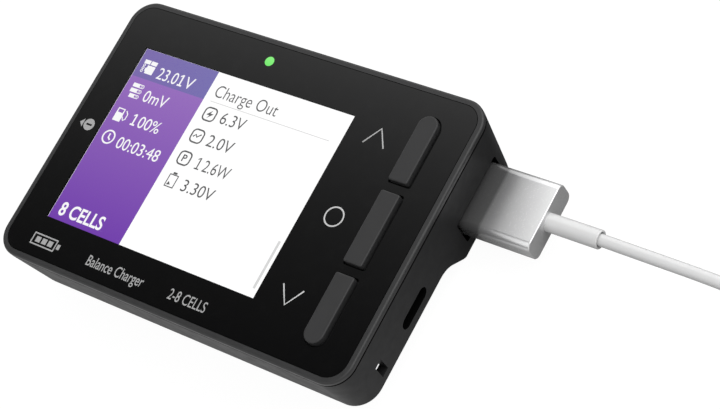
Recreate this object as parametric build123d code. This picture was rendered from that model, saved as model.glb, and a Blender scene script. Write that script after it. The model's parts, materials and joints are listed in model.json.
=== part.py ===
from build123d import *
import math
import os

# Pocket balance battery charger.  Millimetres.
# Frame: +Z out of the display, +X towards the power output side, +Y towards the thick end.
# Origin: under the middle of the body, on the flat back of the thick block.

# ---------------------------------------------------------------- driving dimensions
body_length = 80.0  # along X
body_width = 55.0  # along Y
thick_depth = 18.2  # front face to the back of the thick block
thin_depth = 13.0  # front face to the back of the thin half
corner_radius = 4.8
shell_taper = 0.083  # how far each side wall leans in, per millimetre of depth
shell_wall = 1.5
back_edge_chamfer = 0.35

step_from_top = 19.7  # top edge to where the thick block's flat back ends
step_thick_radius = 3.0
step_thin_radius = 4.5
step_angle = 48.0

# Front frame
frame_height = 1.1  # visible band in front of the parting line
frame_rim = 1.1  # rim seen around the lens
frame_plate = 1.1  # plate behind the lens
frame_edge_radius = 0.45
frame_tongue_depth = 1.9
frame_tongue_wall = 1.2
parting_chamfer = 0.2
fit_gap = 0.1  # between parts that drop into each other
slide_gap = 0.3  # round anything that travels

# Lens stack
lens_thickness = 0.58
print_gap = 0.02
mask_thickness = 0.08
adhesive_thickness = 0.12
lens_gap = 0.12

# Display, 2.4 inch, 4:3
active_length = 48.96
active_width = 36.72
active_from_left = 7.17  # body's left edge to the lit area
active_above_middle = -0.1  # lit area's centre along Y
cell_margin = 1.9
cell_thickness = 1.2
cell_below_mask = 0.07
backlight_thickness = 1.25
tray_wall = 0.3
tray_lip_drop = 0.25

# Circuit board
board_thickness = 1.6
board_below_front = 6.6  # front face to the board's top
board_corner = 3.0
board_side_gap = 0.45

# Keys
key_width = 3.9
key_length = 13.0
middle_key_length = 14.0
key_pitch = 15.6
key_corner = 0.4
key_raised = 1.0
key_from_right = 9.2
key_edge = 0.25
key_flange = 0.55
key_flange_thickness = 0.8
key_travel = 0.4
key_under_plate = 0.12
key_stem_width = 2.4
switch_length = 5.2
switch_width = 3.4
switch_height = 1.6
switch_above_board = 2.5  # board to the plunger's tip
plunger_radius = 0.85
plunger_depth = 1.6

# Status light
led_radius = 0.95
led_from_top = 4.5
led_x_from_display = 2.3
led_height = 0.7

# Power output socket and its plug (full-size serial-bus type, 12.0 x 4.5 mm tongue)
usb_from_top = 12.2
usb_below_board = 4.0
usb_tongue_width = 12.0
usb_tongue_height = 4.5
usb_tongue_length = 11.7
usb_sheet = 0.3
usb_play = 0.25
socket_depth = 13.8
socket_set_back = 1.6
port_margin = 1.05  # wall opening larger than the socket's shell
sleeve_width = 13.1
sleeve_height = 5.1
sleeve_radius = 1.4
sleeve_length = 14.9
sleeve_inside_wall = 1.0
contact_count = 4
contact_pitch = 2.3
contact_width = 1.0
contact_thickness = 0.08
contact_air = 0.07
relief_diameter = 3.4
relief_length = 10.1
relief_mouth = 1.0

# Data socket (micro type)
data_below_middle = 7.6
data_width = 7.5
data_height = 2.5
data_length = 5.6
data_sheet = 0.25
data_slot_length = 8.0
data_slot_width = 2.8
data_set_back = 1.6
data_board_gap = 0.08

# Balance socket, 9 ways
balance_ways = 9
balance_pitch = 2.5
balance_first_pin = 0.46  # the negative pin, along Y
balance_height = 5.4
balance_end_wall = 2.45
balance_depth = 9.0
balance_wall = 0.7
balance_back = 1.4
balance_pin = 0.64
balance_pin_recess = 2.4
balance_pin_tail = 3.0

# Main battery socket, 2 ways
power_width = 15.8
power_height = 8.0
power_depth = 15.0
power_from_top = 11.1
power_wall = 1.1
power_board_gap = 0.25
power_pin_radius = 1.75
power_pin_pitch = 7.2
power_pin_length = 8.0
power_back = 4.0

# Display flex and its connector
flex_half = 8.0
flex_sheet = 0.16
flex_drop = 0.02  # under the tray
flex_out = 1.6  # how far the fold stands past the tray
flex_above_board = 0.5
flex_reach = 9.0
flex_tail = 4.0
connector_height = 1.0
connector_depth = 3.6
connector_set_back = 1.5
connector_end = 1.0
connector_play = 0.02

# Parts on the board
controller_from_display = 6.85
controller_y = -8.5
controller_side = 7.0
controller_height = 0.9
chip_edge = 0.12
resistor_length = 4.5
resistor_width = 2.0
resistor_height = 0.6
resistor_from_socket = 4.2
cell_transistor_length = 2.9
cell_transistor_width = 1.4
cell_transistor_height = 1.0
cell_transistor_step = 6.0
heat_from_socket = 1.2
heat_length = 10.0
heat_width = 11.6
heat_from_top = 13.1
heat_base = 2.0
heat_slot = 1.2
heat_slot_pitch = 2.4
heat_foot_gap = 0.1
transistor_height = 1.0
transistor_length = 6.0
transistor_width = 4.6
transistor_gap = 1.0
pad_thickness = 0.5
pad_margin = 0.3
inductor_side = 8.0
inductor_height = 4.2
inductor_corner = 1.4
inductor_edge = 0.4
capacitor_radius = 3.15
capacitor_height = 5.8
capacitor_base = 0.8
capacitor_gap = 1.0
buzzer_side = 8.5
buzzer_height = 3.2
buzzer_offset = 1.0
buzzer_hole = 0.9
part_gap = 1.4

# Screws
screw_diameter = 2.0
screw_head_diameter = 3.5
screw_head_height = 1.2
screw_length = 9.0
screw_tip_below_front = 2.6
screw_well_gap = 0.2
boss_diameter = 4.2
pillar_diameter = 5.4
screw_x_top = 20.5
screw_from_top = 4.3
screw_right_inset = 5.0
screw_right_from_bottom = 4.7
screw_left_inset = 13.5
screw_left_from_bottom = 4.3
screw_slot = 0.45

# Lanyard eye, a channel from the side wall round to the back
eye_below_middle = 19.25
eye_width = 1.8
eye_height = 3.9
eye_bar = 1.7
eye_reach = 3.4
eye_wall = 0.9
eye_roof = 0.7
eye_flare = 1.1  # how much wider the channel is where it comes out at the back

# Rating plate, blank
plate_length = 42.0
plate_width = 13.0
plate_thickness = 0.2
plate_recess = 0.3
plate_corner = 1.0
plate_below_quarter = 1.0

# Cord
cable_diameter = 2.2
coil_radius = 13.2  # middle of the turns
coil_columns = 3
coil_layers = 4
coil_x = 114.5
coil_y = -0.1
far_body_length = 13.0
far_body_width = 8.4
far_body_height = 5.0
far_body_corner = 1.6
far_body_edge = 0.3
far_tongue_length = 5.6
far_tongue_width = 6.85
far_tongue_height = 1.8
far_relief_length = 6.0
far_relief_diameter = 3.4
tie_width = 3.0
tie_thickness = 0.5
tie_corner = 1.2
floor_gap = 0.02

# ---------------------------------------------------------------- derived levels and places
half_length = body_length / 2
half_width = body_width / 2
front_z = thick_depth
parting_z = front_z - frame_height
thin_z = thick_depth - thin_depth
lens_z = front_z - lens_thickness
mask_z = lens_z - print_gap - mask_thickness
plate_z = mask_z - adhesive_thickness
plate_back_z = plate_z - frame_plate
cell_top_z = mask_z - cell_below_mask
cell_z = cell_top_z - cell_thickness
backlight_z = cell_z - backlight_thickness
tray_z = backlight_z - tray_wall
board_top = front_z - board_below_front
board_z = board_top - board_thickness

display_x = -half_length + active_from_left + active_length / 2
display_y = active_above_middle
controller_x = display_x + controller_from_display
cell_length = active_length + 2 * cell_margin
cell_width = active_width + 2 * cell_margin
tray_length = cell_length + 2 * tray_wall
tray_width = cell_width + 2 * tray_wall

key_x = half_length - key_from_right
key_top_z = front_z + key_raised
flange_top_z = plate_back_z - key_under_plate
flange_z = flange_top_z - key_flange_thickness
plunger_top_z = board_top + switch_above_board

usb_y = half_width - usb_from_top
usb_z = board_z - usb_below_board
data_y = -data_below_middle
data_z = board_z - data_board_gap - data_height / 2
power_y = half_width - power_from_top
power_z = board_z - power_board_gap - power_height / 2
balance_span = (balance_ways - 1) * balance_pitch
balance_y = balance_first_pin - balance_span / 2
balance_z = board_top + balance_pin / 2
balance_width = balance_span + 2 * balance_end_wall
led_x = display_x + led_x_from_display
flex_top = tray_z - flex_drop
flex_level = board_top + flex_above_board
heat_y = half_width - heat_from_top
plate_y = -half_width / 2 - plate_below_quarter
led_y = half_width - led_from_top
eye_y = -eye_below_middle

screw_places = [
    (-screw_x_top, half_width - screw_from_top),
    (screw_x_top, half_width - screw_from_top),
    (half_length - screw_right_inset, -half_width + screw_right_from_bottom),
    (-half_length + screw_left_inset, -half_width + screw_left_from_bottom),
]
screw_tip_z = front_z - screw_tip_below_front
screw_seat_z = screw_tip_z - screw_length


def wall_inset(z):
    """How far the tapered wall stands in from the parting line's outline at a height."""
    return (parting_z - z) * shell_taper


eye_inner = half_length - wall_inset(thin_z) - eye_bar - eye_reach
right_usb = half_length - wall_inset(usb_z)
right_data = half_length - wall_inset(data_z)
left_balance = -half_length + wall_inset(balance_z)
left_power = -half_length + wall_inset(power_z)
balance_part_x = left_balance + balance_depth + resistor_from_socket
socket_mouth = right_usb - socket_set_back
socket_back = socket_mouth - socket_depth
socket_inner_width = usb_tongue_width + 2 * usb_play
socket_inner_height = usb_tongue_height + 2 * usb_play
plug_top_inside = usb_z + usb_tongue_height / 2 - usb_sheet
plug_floor_inside = usb_z - usb_tongue_height / 2 + usb_sheet
sleeve_x = right_usb - sleeve_inside_wall
sleeve_end = sleeve_x + sleeve_length
tongue_tip = sleeve_x - usb_tongue_length
relief_end = sleeve_end + relief_length
data_mouth = right_data - data_set_back
data_back = data_mouth - data_length
cable_radius = cable_diameter / 2
floor_z = cable_radius + floor_gap
heat_x = left_power + power_depth + heat_from_socket
inductor_x = heat_x + heat_length + part_gap
capacitor_x = inductor_x + inductor_side + part_gap
buzzer_x = capacitor_x + 2 * capacitor_radius + part_gap


# ---------------------------------------------------------------- small helpers
def block(x0, x1, y0, y1, z0, z1):
    """A box between two corners."""
    centre = Pos((x0 + x1) / 2, (y0 + y1) / 2, (z0 + z1) / 2)
    return centre * Box(x1 - x0, y1 - y0, z1 - z0)


def plate(length, width, radius, z0, z1, x=0.0, y=0.0):
    """A flat plate with round corners, standing on z0."""
    return Pos(x, y, z0) * extrude(RectangleRounded(length, width, radius), amount=z1 - z0)


def rod(x, y, z0, z1, radius):
    """An upright cylinder."""
    return Pos(x, y, (z0 + z1) / 2) * Cylinder(radius, z1 - z0)


def bar_x(x0, x1, y, z, width, height, radius):
    """A bar along X with a rounded rectangular section."""
    section = Plane(origin=(x0, y, z), x_dir=(0, 1, 0), z_dir=(1, 0, 0))
    return extrude(section * RectangleRounded(width, height, radius), amount=x1 - x0)


def rod_x(x0, x1, y, z, radius):
    """A cylinder along X."""
    section = Plane(origin=(x0, y, z), x_dir=(0, 1, 0), z_dir=(1, 0, 0))
    return extrude(section * Circle(radius), amount=x1 - x0)


def group(pieces):
    """Separate solids kept in one node."""
    return Compound(children=list(pieces))


# ---------------------------------------------------------------- shells
def outline_at(z, inset, radius):
    """The body's outline on the tapered wall at a height, moved in by inset."""
    edge = wall_inset(z) + inset
    return Pos(0, 0, z) * RectangleRounded(body_length - 2 * edge, body_width - 2 * edge, radius)


def tapered_form():
    """The tapered outer form, with its edges broken at the back and the parting line."""
    back = back_edge_chamfer
    front = parting_z - parting_chamfer
    return loft(
        [
            outline_at(0, back, corner_radius - back),
            outline_at(back, 0, corner_radius),
            outline_at(front, 0, corner_radius),
            outline_at(parting_z, parting_chamfer, corner_radius - parting_chamfer),
        ],
        ruled=True,
    )


def tapered_cavity():
    """The space inside the wall."""
    radius = corner_radius - shell_wall
    return loft([outline_at(0, shell_wall, radius), outline_at(parting_z, shell_wall, radius)], ruled=True)


def back_region(offset):
    """Everything in front of the stepped back face, moved in by offset."""
    angle = math.radians(step_angle)
    thick_arc = step_thick_radius - offset
    thin_arc = step_thin_radius + offset
    step_start = half_width - step_from_top
    fall = (step_thick_radius + step_thin_radius) * (1 - math.cos(angle))
    ramp = (thin_z - fall) / math.sin(angle)
    run = (step_thick_radius + step_thin_radius) * math.sin(angle) + ramp * math.cos(angle)
    step_end = step_start - run
    thick_centre = (step_start, step_thick_radius)
    thin_centre = (step_end, thin_z - step_thin_radius)

    def on_arc(centre, radius, turn, sign):
        return (centre[0] + sign * radius * math.sin(turn), centre[1] + sign * radius * math.cos(turn))

    beyond = body_width
    top = front_z + beyond
    outline = [
        Line((beyond, offset), (step_start, offset)),
        ThreePointArc(
            (step_start, offset),
            on_arc(thick_centre, thick_arc, angle / 2, -1),
            on_arc(thick_centre, thick_arc, angle, -1),
        ),
        Line(on_arc(thick_centre, thick_arc, angle, -1), on_arc(thin_centre, thin_arc, angle, 1)),
        ThreePointArc(
            on_arc(thin_centre, thin_arc, angle, 1),
            on_arc(thin_centre, thin_arc, angle / 2, 1),
            (step_end, thin_z + offset),
        ),
        Line((step_end, thin_z + offset), (-beyond, thin_z + offset)),
        Line((-beyond, thin_z + offset), (-beyond, top)),
        Line((-beyond, top), (beyond, top)),
        Line((beyond, top), (beyond, offset)),
    ]
    side = Plane(origin=(-body_length, 0, 0), x_dir=(0, 1, 0), z_dir=(1, 0, 0))
    return extrude(side * make_face(outline), amount=2 * body_length)


def make_rear_shell():
    outer = tapered_form() & back_region(0)
    cavity = tapered_cavity() & back_region(shell_wall)
    shell = outer - cavity
    inside = []
    for x, y in screw_places:
        inside.append(rod(x, y, 0, board_z, pillar_diameter / 2))
    inside.append(
        block(
            eye_inner - eye_wall,
            half_length,
            eye_y - eye_width / 2 - eye_wall,
            eye_y + eye_width / 2 + eye_flare + eye_wall,
            thin_z,
            thin_z + eye_bar + eye_height + eye_roof,
        )
    )
    for piece in inside:
        shell += piece & outer
    for x, y in screw_places:
        shell -= rod(x, y, screw_seat_z, parting_z, screw_diameter / 2 + fit_gap)
        shell -= rod(x, y, -1, screw_seat_z, screw_head_diameter / 2 + screw_well_gap)
    # lanyard channel: in through the side wall, out through the back
    shell -= block(
        eye_inner,
        half_length + 1,
        eye_y - eye_width / 2,
        eye_y + eye_width / 2,
        thin_z + eye_bar,
        thin_z + eye_bar + eye_height,
    )
    shell -= block(
        eye_inner,
        eye_inner + eye_reach,
        eye_y - eye_width / 2,
        eye_y + eye_width / 2 + eye_flare,
        thin_z - 1,
        thin_z + eye_bar + 0.1,
    )
    # ports
    usb_hole_width = usb_tongue_width + 2 * (usb_sheet + usb_play) + port_margin
    usb_hole_height = usb_tongue_height + 2 * (usb_sheet + usb_play) + port_margin
    deep = 3 * shell_wall
    shell -= bar_x(right_usb - deep, half_length + 1, usb_y, usb_z, usb_hole_width, usb_hole_height, 0.6)
    slot_end = data_slot_width / 2 - 0.05
    shell -= bar_x(
        right_data - deep, half_length + 1, data_y, data_z, data_slot_length, data_slot_width, slot_end
    )
    shell -= bar_x(
        -half_length - 1,
        left_balance + deep,
        balance_y,
        balance_z,
        balance_width + 2 * fit_gap,
        balance_height + 2 * fit_gap,
        0.3,
    )
    shell -= bar_x(
        -half_length - 1, left_power + power_depth + fit_gap, power_y, power_z, power_width + 2 * fit_gap,
        power_height + 2 * fit_gap, 0.3,
    )
    # recess for the rating plate, on the thin half's back
    shell -= plate(
        plate_length + 2 * fit_gap, plate_width + 2 * fit_gap, plate_corner, thin_z - 1,
        thin_z + plate_recess, 0, plate_y,
    )
    return shell


def make_front_frame():
    band = plate(body_length, body_width, corner_radius, parting_z, front_z)
    band = fillet(band.edges().group_by(Axis.Z)[-1], frame_edge_radius)
    band = chamfer(band.edges().group_by(Axis.Z)[0], parting_chamfer)
    tongue_inset = shell_wall + fit_gap
    tongue_length = body_length - 2 * tongue_inset - 2 * wall_inset(parting_z - frame_tongue_depth)
    tongue_width = body_width - 2 * tongue_inset - 2 * wall_inset(parting_z - frame_tongue_depth)
    tongue_corner = corner_radius - tongue_inset
    tongue = plate(tongue_length, tongue_width, tongue_corner, parting_z - frame_tongue_depth, parting_z)
    tongue -= plate(
        tongue_length - 2 * frame_tongue_wall,
        tongue_width - 2 * frame_tongue_wall,
        tongue_corner - frame_tongue_wall,
        parting_z - frame_tongue_depth - 1,
        plate_back_z,
    )
    frame = band + tongue
    frame -= plate(
        body_length - 2 * frame_rim,
        body_width - 2 * frame_rim,
        corner_radius - frame_rim,
        plate_z,
        front_z + 1,
    )
    for x, y in screw_places:
        frame += rod(x, y, board_top, plate_back_z + 0.1, boss_diameter / 2)
        frame -= rod(x, y, board_top - 1, screw_tip_z + 0.3, screw_diameter / 2 + 0.01)
    frame -= plate(
        tray_length + 2 * fit_gap, tray_width + 2 * fit_gap, 0.6, 0, front_z, display_x, display_y
    )
    for index in range(3):
        frame -= key_outline(index, slide_gap, 0, front_z)
    frame -= rod(led_x, led_y, 0, front_z, led_radius + 0.05)
    return frame


def make_lens():
    lens = plate(
        body_length - 2 * (frame_rim + lens_gap),
        body_width - 2 * (frame_rim + lens_gap),
        corner_radius - frame_rim - lens_gap,
        lens_z,
        front_z,
    )
    for index in range(3):
        lens -= key_outline(index, slide_gap, 0, front_z + 1)
    return lens


def make_mask():
    mask = plate(
        body_length - 2 * (frame_rim + lens_gap),
        body_width - 2 * (frame_rim + lens_gap),
        corner_radius - frame_rim - lens_gap,
        mask_z,
        mask_z + mask_thickness,
    )
    mask -= plate(active_length, active_width, 0.05, 0, front_z, display_x, display_y)
    for index in range(3):
        mask -= key_outline(index, slide_gap, 0, front_z)
    return mask - rod(led_x, led_y, 0, front_z, led_radius)


def make_adhesive():
    pad = plate(
        body_length - 2 * (frame_rim + 5 * lens_gap),
        body_width - 2 * (frame_rim + 5 * lens_gap),
        corner_radius - frame_rim - 5 * lens_gap,
        plate_z,
        plate_z + adhesive_thickness,
    )
    pad -= plate(tray_length + 1.0, tray_width + 1.0, 0.8, 0, front_z, display_x, display_y)
    for index in range(3):
        pad -= key_outline(index, 2 * slide_gap, 0, front_z)
    return pad - rod(led_x, led_y, 0, front_z, led_radius + 0.3)


def make_rating_plate():
    return plate(
        plate_length, plate_width, plate_corner, thin_z + plate_recess - plate_thickness,
        thin_z + plate_recess, 0, plate_y,
    )


def make_screws():
    screws = []
    for x, y in screw_places:
        screw = rod(x, y, screw_seat_z - screw_head_height, screw_seat_z, screw_head_diameter / 2)
        screw = fillet(screw.edges().group_by(Axis.Z)[0], 0.3)
        screw += rod(x, y, screw_seat_z - 0.2, screw_tip_z, screw_diameter / 2)
        slot_z = screw_seat_z - screw_head_height
        arm = screw_head_diameter * 0.3
        screw -= block(x - arm, x + arm, y - screw_slot / 2, y + screw_slot / 2, slot_z - 1, slot_z + 0.6)
        screw -= block(x - screw_slot / 2, x + screw_slot / 2, y - arm, y + arm, slot_z - 1, slot_z + 0.6)
        screws.append(screw)
    return group(screws)


# ---------------------------------------------------------------- display
def make_display_cell():
    return plate(cell_length, cell_width, 0.3, cell_z, cell_top_z, display_x, display_y)


def make_backlight():
    return plate(cell_length - 0.2, cell_width - 0.2, 0.3, backlight_z, cell_z, display_x, display_y)


def make_display_tray():
    tray = plate(tray_length, tray_width, 0.5, tray_z, cell_top_z - tray_lip_drop, display_x, display_y)
    return tray - plate(cell_length, cell_width, 0.3, backlight_z, front_z, display_x, display_y)


def make_display_flex():
    """A ribbon out of the display's side, folded down and back under it."""
    right = display_x + tray_length / 2
    fold = right + flex_out
    upper = block(right - flex_reach, fold, -flex_half, flex_half, flex_top - flex_sheet, flex_top)
    drop = block(fold - flex_sheet, fold, -flex_half, flex_half, flex_level, flex_top)
    lower = block(right - flex_tail, fold, -flex_half, flex_half, flex_level, flex_level + flex_sheet)
    return upper + drop + lower


def make_flex_connector():
    right = display_x + tray_length / 2
    x1 = right - connector_set_back
    half = flex_half + connector_end
    body = block(x1 - connector_depth, x1, -half, half, board_top, board_top + connector_height)
    play = connector_play
    slot = block(
        right - flex_tail - play, x1 + 1, -flex_half - play, flex_half + play, flex_level - play,
        flex_level + flex_sheet + play,
    )
    return body - slot


# ---------------------------------------------------------------- keys and switches
def key_outline(index, grow, z0, z1):
    """One key's outline, 0 at the top; the outer keys have a round outer end."""
    width = key_width + 2 * grow
    if index == 1:
        sketch = RectangleRounded(width, middle_key_length + 2 * grow, key_corner)
    else:
        outward = 1 if index == 0 else -1
        straight = key_length + grow * 2 - width / 2
        sketch = Pos(0, -outward * width / 4) * Rectangle(width, straight)
        inner_corners = sketch.vertices().sort_by(Axis.Y)
        inner_corners = inner_corners[:2] if outward == 1 else inner_corners[-2:]
        sketch = fillet(inner_corners, key_corner)
        sketch += Pos(0, outward * (key_length / 2 + grow - width / 2)) * Circle(width / 2)
    return Pos(key_x, key_centre(index), z0) * extrude(sketch, amount=z1 - z0)


def key_centre(index):
    """Where a key sits along Y."""
    return (1 - index) * key_pitch


def make_key(index):
    cap = key_outline(index, 0, flange_z + 0.1, key_top_z)
    cap = fillet(cap.edges().group_by(Axis.Z)[-1], key_edge)
    flange = key_outline(index, key_flange, flange_z, flange_top_z)
    stem = block(
        key_x - key_stem_width / 2,
        key_x + key_stem_width / 2,
        key_centre(index) - key_stem_width / 2,
        key_centre(index) + key_stem_width / 2,
        plunger_top_z,
        flange_z + 0.1,
    )
    return cap + flange + stem


def make_switch_base(index):
    y = key_centre(index)
    base = block(
        key_x - switch_width / 2, key_x + switch_width / 2, y - switch_length / 2, y + switch_length / 2,
        board_top, board_top + switch_height,
    )
    base = chamfer(base.edges().group_by(Axis.Z)[-1], 0.2)
    return base - rod(key_x, y, board_top + 0.3, board_top + 3, plunger_radius + slide_gap)


def make_plunger(index):
    return rod(key_x, key_centre(index), plunger_top_z - plunger_depth, plunger_top_z, plunger_radius)


# ---------------------------------------------------------------- circuit board and parts on it
def make_board():
    gap = shell_wall + board_side_gap + wall_inset(board_z)
    board = plate(
        body_length - 2 * gap, body_width - 2 * gap, board_corner, board_z, board_top
    )
    notch = 0.35
    board -= block(
        -half_length,
        left_balance + balance_depth + notch,
        balance_y - balance_width / 2 - notch,
        balance_y + balance_width / 2 + notch,
        board_z - 1,
        board_top + 1,
    )
    board -= block(
        eye_inner - eye_wall - notch,
        half_length,
        eye_y - eye_width / 2 - eye_wall - notch,
        eye_y + eye_width / 2 + eye_flare + eye_wall + notch,
        board_z - 1,
        board_top + 1,
    )
    for x, y in screw_places:
        board -= rod(x, y, board_z - 1, board_top + 1, screw_diameter / 2 + 0.2)
    return board


def make_led():
    return block(led_x - 0.8, led_x + 0.8, led_y - 0.5, led_y + 0.5, board_top, board_top + led_height)


def make_light_pipe():
    return rod(led_x, led_y, board_top + led_height + 0.15, mask_z + mask_thickness, led_radius - 0.03)


def make_controller():
    chip = block(
        controller_x, controller_x + controller_side, controller_y, controller_y + controller_side,
        board_top, board_top + controller_height,
    )
    return chamfer(chip.edges().group_by(Axis.Z)[-1], chip_edge)


def board_chips(x, length, width, height):
    """One chip for each cell, in a row behind the balance socket, between its two pins."""
    chips = []
    for cell in range(balance_ways - 1):
        y = balance_first_pin - (cell + 0.5) * balance_pitch
        chips.append(block(x, x + length, y - width / 2, y + width / 2, board_top, board_top + height))
    return group(chips)


def make_balance_resistors():
    return board_chips(balance_part_x, resistor_length, resistor_width, resistor_height)


def make_balance_transistors():
    x = balance_part_x + cell_transistor_step
    return board_chips(x, cell_transistor_length, cell_transistor_width, cell_transistor_height)


def transistor_place(side):
    """A power transistor's middle; side is -1 or 1."""
    return heat_y + side * (transistor_width + transistor_gap) / 2


def make_power_transistors():
    middle = heat_x + heat_length / 2
    half = transistor_length / 2
    chips = []
    for side in (-1, 1):
        y0 = transistor_place(side) - transistor_width / 2
        y1 = y0 + transistor_width
        chips.append(block(middle - half, middle + half, y0, y1, board_z - transistor_height, board_z))
    return group(chips)


def make_thermal_pad():
    top = board_z - transistor_height
    half = transistor_width + transistor_gap / 2 + pad_margin
    middle = heat_x + heat_length / 2
    reach = transistor_length / 2 + 3 * pad_margin
    return block(middle - reach, middle + reach, heat_y - half, heat_y + half, top - pad_thickness, top)


def make_heat_block():
    """A finned aluminium block between the power transistors and the back."""
    top = board_z - transistor_height - pad_thickness
    foot = shell_wall + heat_foot_gap
    half = heat_width / 2
    solid = block(heat_x, heat_x + heat_length, heat_y - half, heat_y + half, foot, top)
    for index in (-1, 0, 1):
        x = heat_x + heat_length / 2 + index * heat_slot_pitch
        solid -= block(
            x - heat_slot / 2, x + heat_slot / 2, heat_y - half - 1, heat_y + half + 1, foot - 1,
            top - heat_base,
        )
    return solid


def make_inductor():
    side = inductor_side
    core = block(
        inductor_x, inductor_x + side, power_y - side / 2, power_y + side / 2,
        board_z - inductor_height, board_z,
    )
    core = chamfer(core.edges().filter_by(Axis.Z), inductor_corner)
    return fillet(core.edges().group_by(Axis.Z)[0], inductor_edge)


def make_capacitors():
    """Two cans standing on square bases."""
    x = capacitor_x + capacitor_radius
    half = capacitor_radius
    cans = []
    for side in (-1, 1):
        y = power_y + side * (capacitor_radius + capacitor_gap / 2)
        base = block(x - half, x + half, y - half, y + half, board_z - capacitor_base, board_z)
        can = rod(x, y, board_z - capacitor_height, board_z - capacitor_base, capacitor_radius - 0.15)
        can = fillet(can.edges().group_by(Axis.Z)[0], inductor_edge)
        cans.append(base + can)
    return group(cans)


def make_buzzer():
    y = power_y - buzzer_offset
    low = board_z - buzzer_height
    case = block(
        buzzer_x, buzzer_x + buzzer_side, y - buzzer_side / 2, y + buzzer_side / 2, low, board_z
    )
    return case - rod(buzzer_x + buzzer_side / 2, y, low - 1, low + buzzer_hole, buzzer_hole)


# ---------------------------------------------------------------- power output socket
def make_socket_shell():
    outer = bar_x(
        socket_back, socket_mouth, usb_y, usb_z, socket_inner_width + 2 * usb_sheet,
        socket_inner_height + 2 * usb_sheet, 0.5,
    )
    inner = bar_x(
        socket_back - 1, socket_mouth + 1, usb_y, usb_z, socket_inner_width, socket_inner_height, 0.3
    )
    return outer - inner


def make_socket_insulator():
    back = block(
        socket_back + 0.05,
        tongue_tip - 0.5,
        usb_y - socket_inner_width / 2,
        usb_y + socket_inner_width / 2,
        usb_z - socket_inner_height / 2,
        usb_z + socket_inner_height / 2,
    )
    back = fillet(back.edges().filter_by(Axis.X), 0.3)
    tongue = block(
        tongue_tip - 1, socket_mouth - 1.2, usb_y - 5.3, usb_y + 5.3, usb_z + 0.15,
        plug_top_inside - 0.2,
    )
    spacer_top = usb_z + socket_inner_height / 2 + usb_sheet
    spacer = block(socket_back, socket_mouth - 1, usb_y - 5.5, usb_y + 5.5, spacer_top, board_z)
    return (back + tongue), spacer


def contact_places():
    first = usb_y - (contact_count - 1) * contact_pitch / 2
    return [first + index * contact_pitch for index in range(contact_count)]


def make_socket_contacts():
    strips = []
    for y in contact_places():
        strips.append(
            block(
                tongue_tip + 0.5, socket_mouth - 2.0, y - contact_width / 2, y + contact_width / 2,
                usb_z + 0.15 - contact_thickness, usb_z + 0.15,
            )
        )
    return group(strips)


# ---------------------------------------------------------------- plug
def make_plug_tongue():
    outer = bar_x(tongue_tip, sleeve_x, usb_y, usb_z, usb_tongue_width, usb_tongue_height, 0.4)
    inner = bar_x(
        tongue_tip - 1, sleeve_x + 1, usb_y, usb_z, usb_tongue_width - 2 * usb_sheet,
        usb_tongue_height - 2 * usb_sheet, 0.2,
    )
    shell = outer - inner
    for y in (usb_y - 2.9, usb_y + 2.9):
        for z in (usb_z - usb_tongue_height / 2, usb_z + usb_tongue_height / 2):
            shell -= block(sleeve_x - 7.6, sleeve_x - 5.4, y - 1.1, y + 1.1, z - 0.5, z + 0.5)
    return shell


def make_plug_insulator():
    half = usb_tongue_width / 2 - usb_sheet
    core = block(
        tongue_tip + 0.2, sleeve_x, usb_y - half, usb_y + half, plug_floor_inside,
        usb_z - contact_air + 0.07,
    )
    core = fillet(core.edges().filter_by(Axis.X).group_by(Axis.Z)[0], 0.2)
    for y in contact_places():
        core -= block(
            tongue_tip + 1.0, sleeve_x + 1, y - contact_width / 2, y + contact_width / 2,
            usb_z - 0.12, usb_z + 1,
        )
    return core


def make_plug_contacts():
    strips = []
    for y in contact_places():
        strips.append(
            block(
                tongue_tip + 1.0, sleeve_x, y - contact_width / 2, y + contact_width / 2,
                usb_z - 0.12, usb_z - 0.02,
            )
        )
    return group(strips)


def make_plug_sleeve():
    sleeve = bar_x(sleeve_x, sleeve_end, usb_y, usb_z, sleeve_width, sleeve_height, sleeve_radius)
    ends = sleeve.edges().group_by(Axis.X)
    return chamfer(ends[0] + ends[-1], 0.12)


def make_relief():
    relief = rod_x(sleeve_end, relief_end, usb_y, usb_z, relief_diameter / 2)
    relief = fillet(relief.edges().group_by(Axis.X)[-1], 0.25)
    mouth = rod_x(relief_end - relief_mouth, relief_end + 1, usb_y, usb_z, relief_diameter / 2 - 0.4)
    return relief - mouth


# ---------------------------------------------------------------- data socket
def make_data_shell():
    outer = bar_x(data_back, data_mouth, data_y, data_z, data_width, data_height, 0.5)
    cavity = bar_x(
        data_back + 0.8, data_mouth + 1, data_y, data_z, data_width - 2 * data_sheet,
        data_height - 2 * data_sheet, 0.35,
    )
    return outer - cavity


def make_data_tongue():
    return block(
        data_back + 0.8, data_mouth - 0.9, data_y - 1.85, data_y + 1.85, data_z + 0.1, data_z + 0.7
    )


# ---------------------------------------------------------------- balance socket
def balance_pin_places():
    return [balance_first_pin - index * balance_pitch for index in range(balance_ways)]


def make_balance_pins():
    tip = left_balance + balance_pin_recess
    tail = left_balance + balance_depth + balance_pin_tail
    half = balance_pin / 2
    return group(
        block(tip, tail, y - half, y + half, balance_z - half, balance_z + half)
        for y in balance_pin_places()
    )


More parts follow.
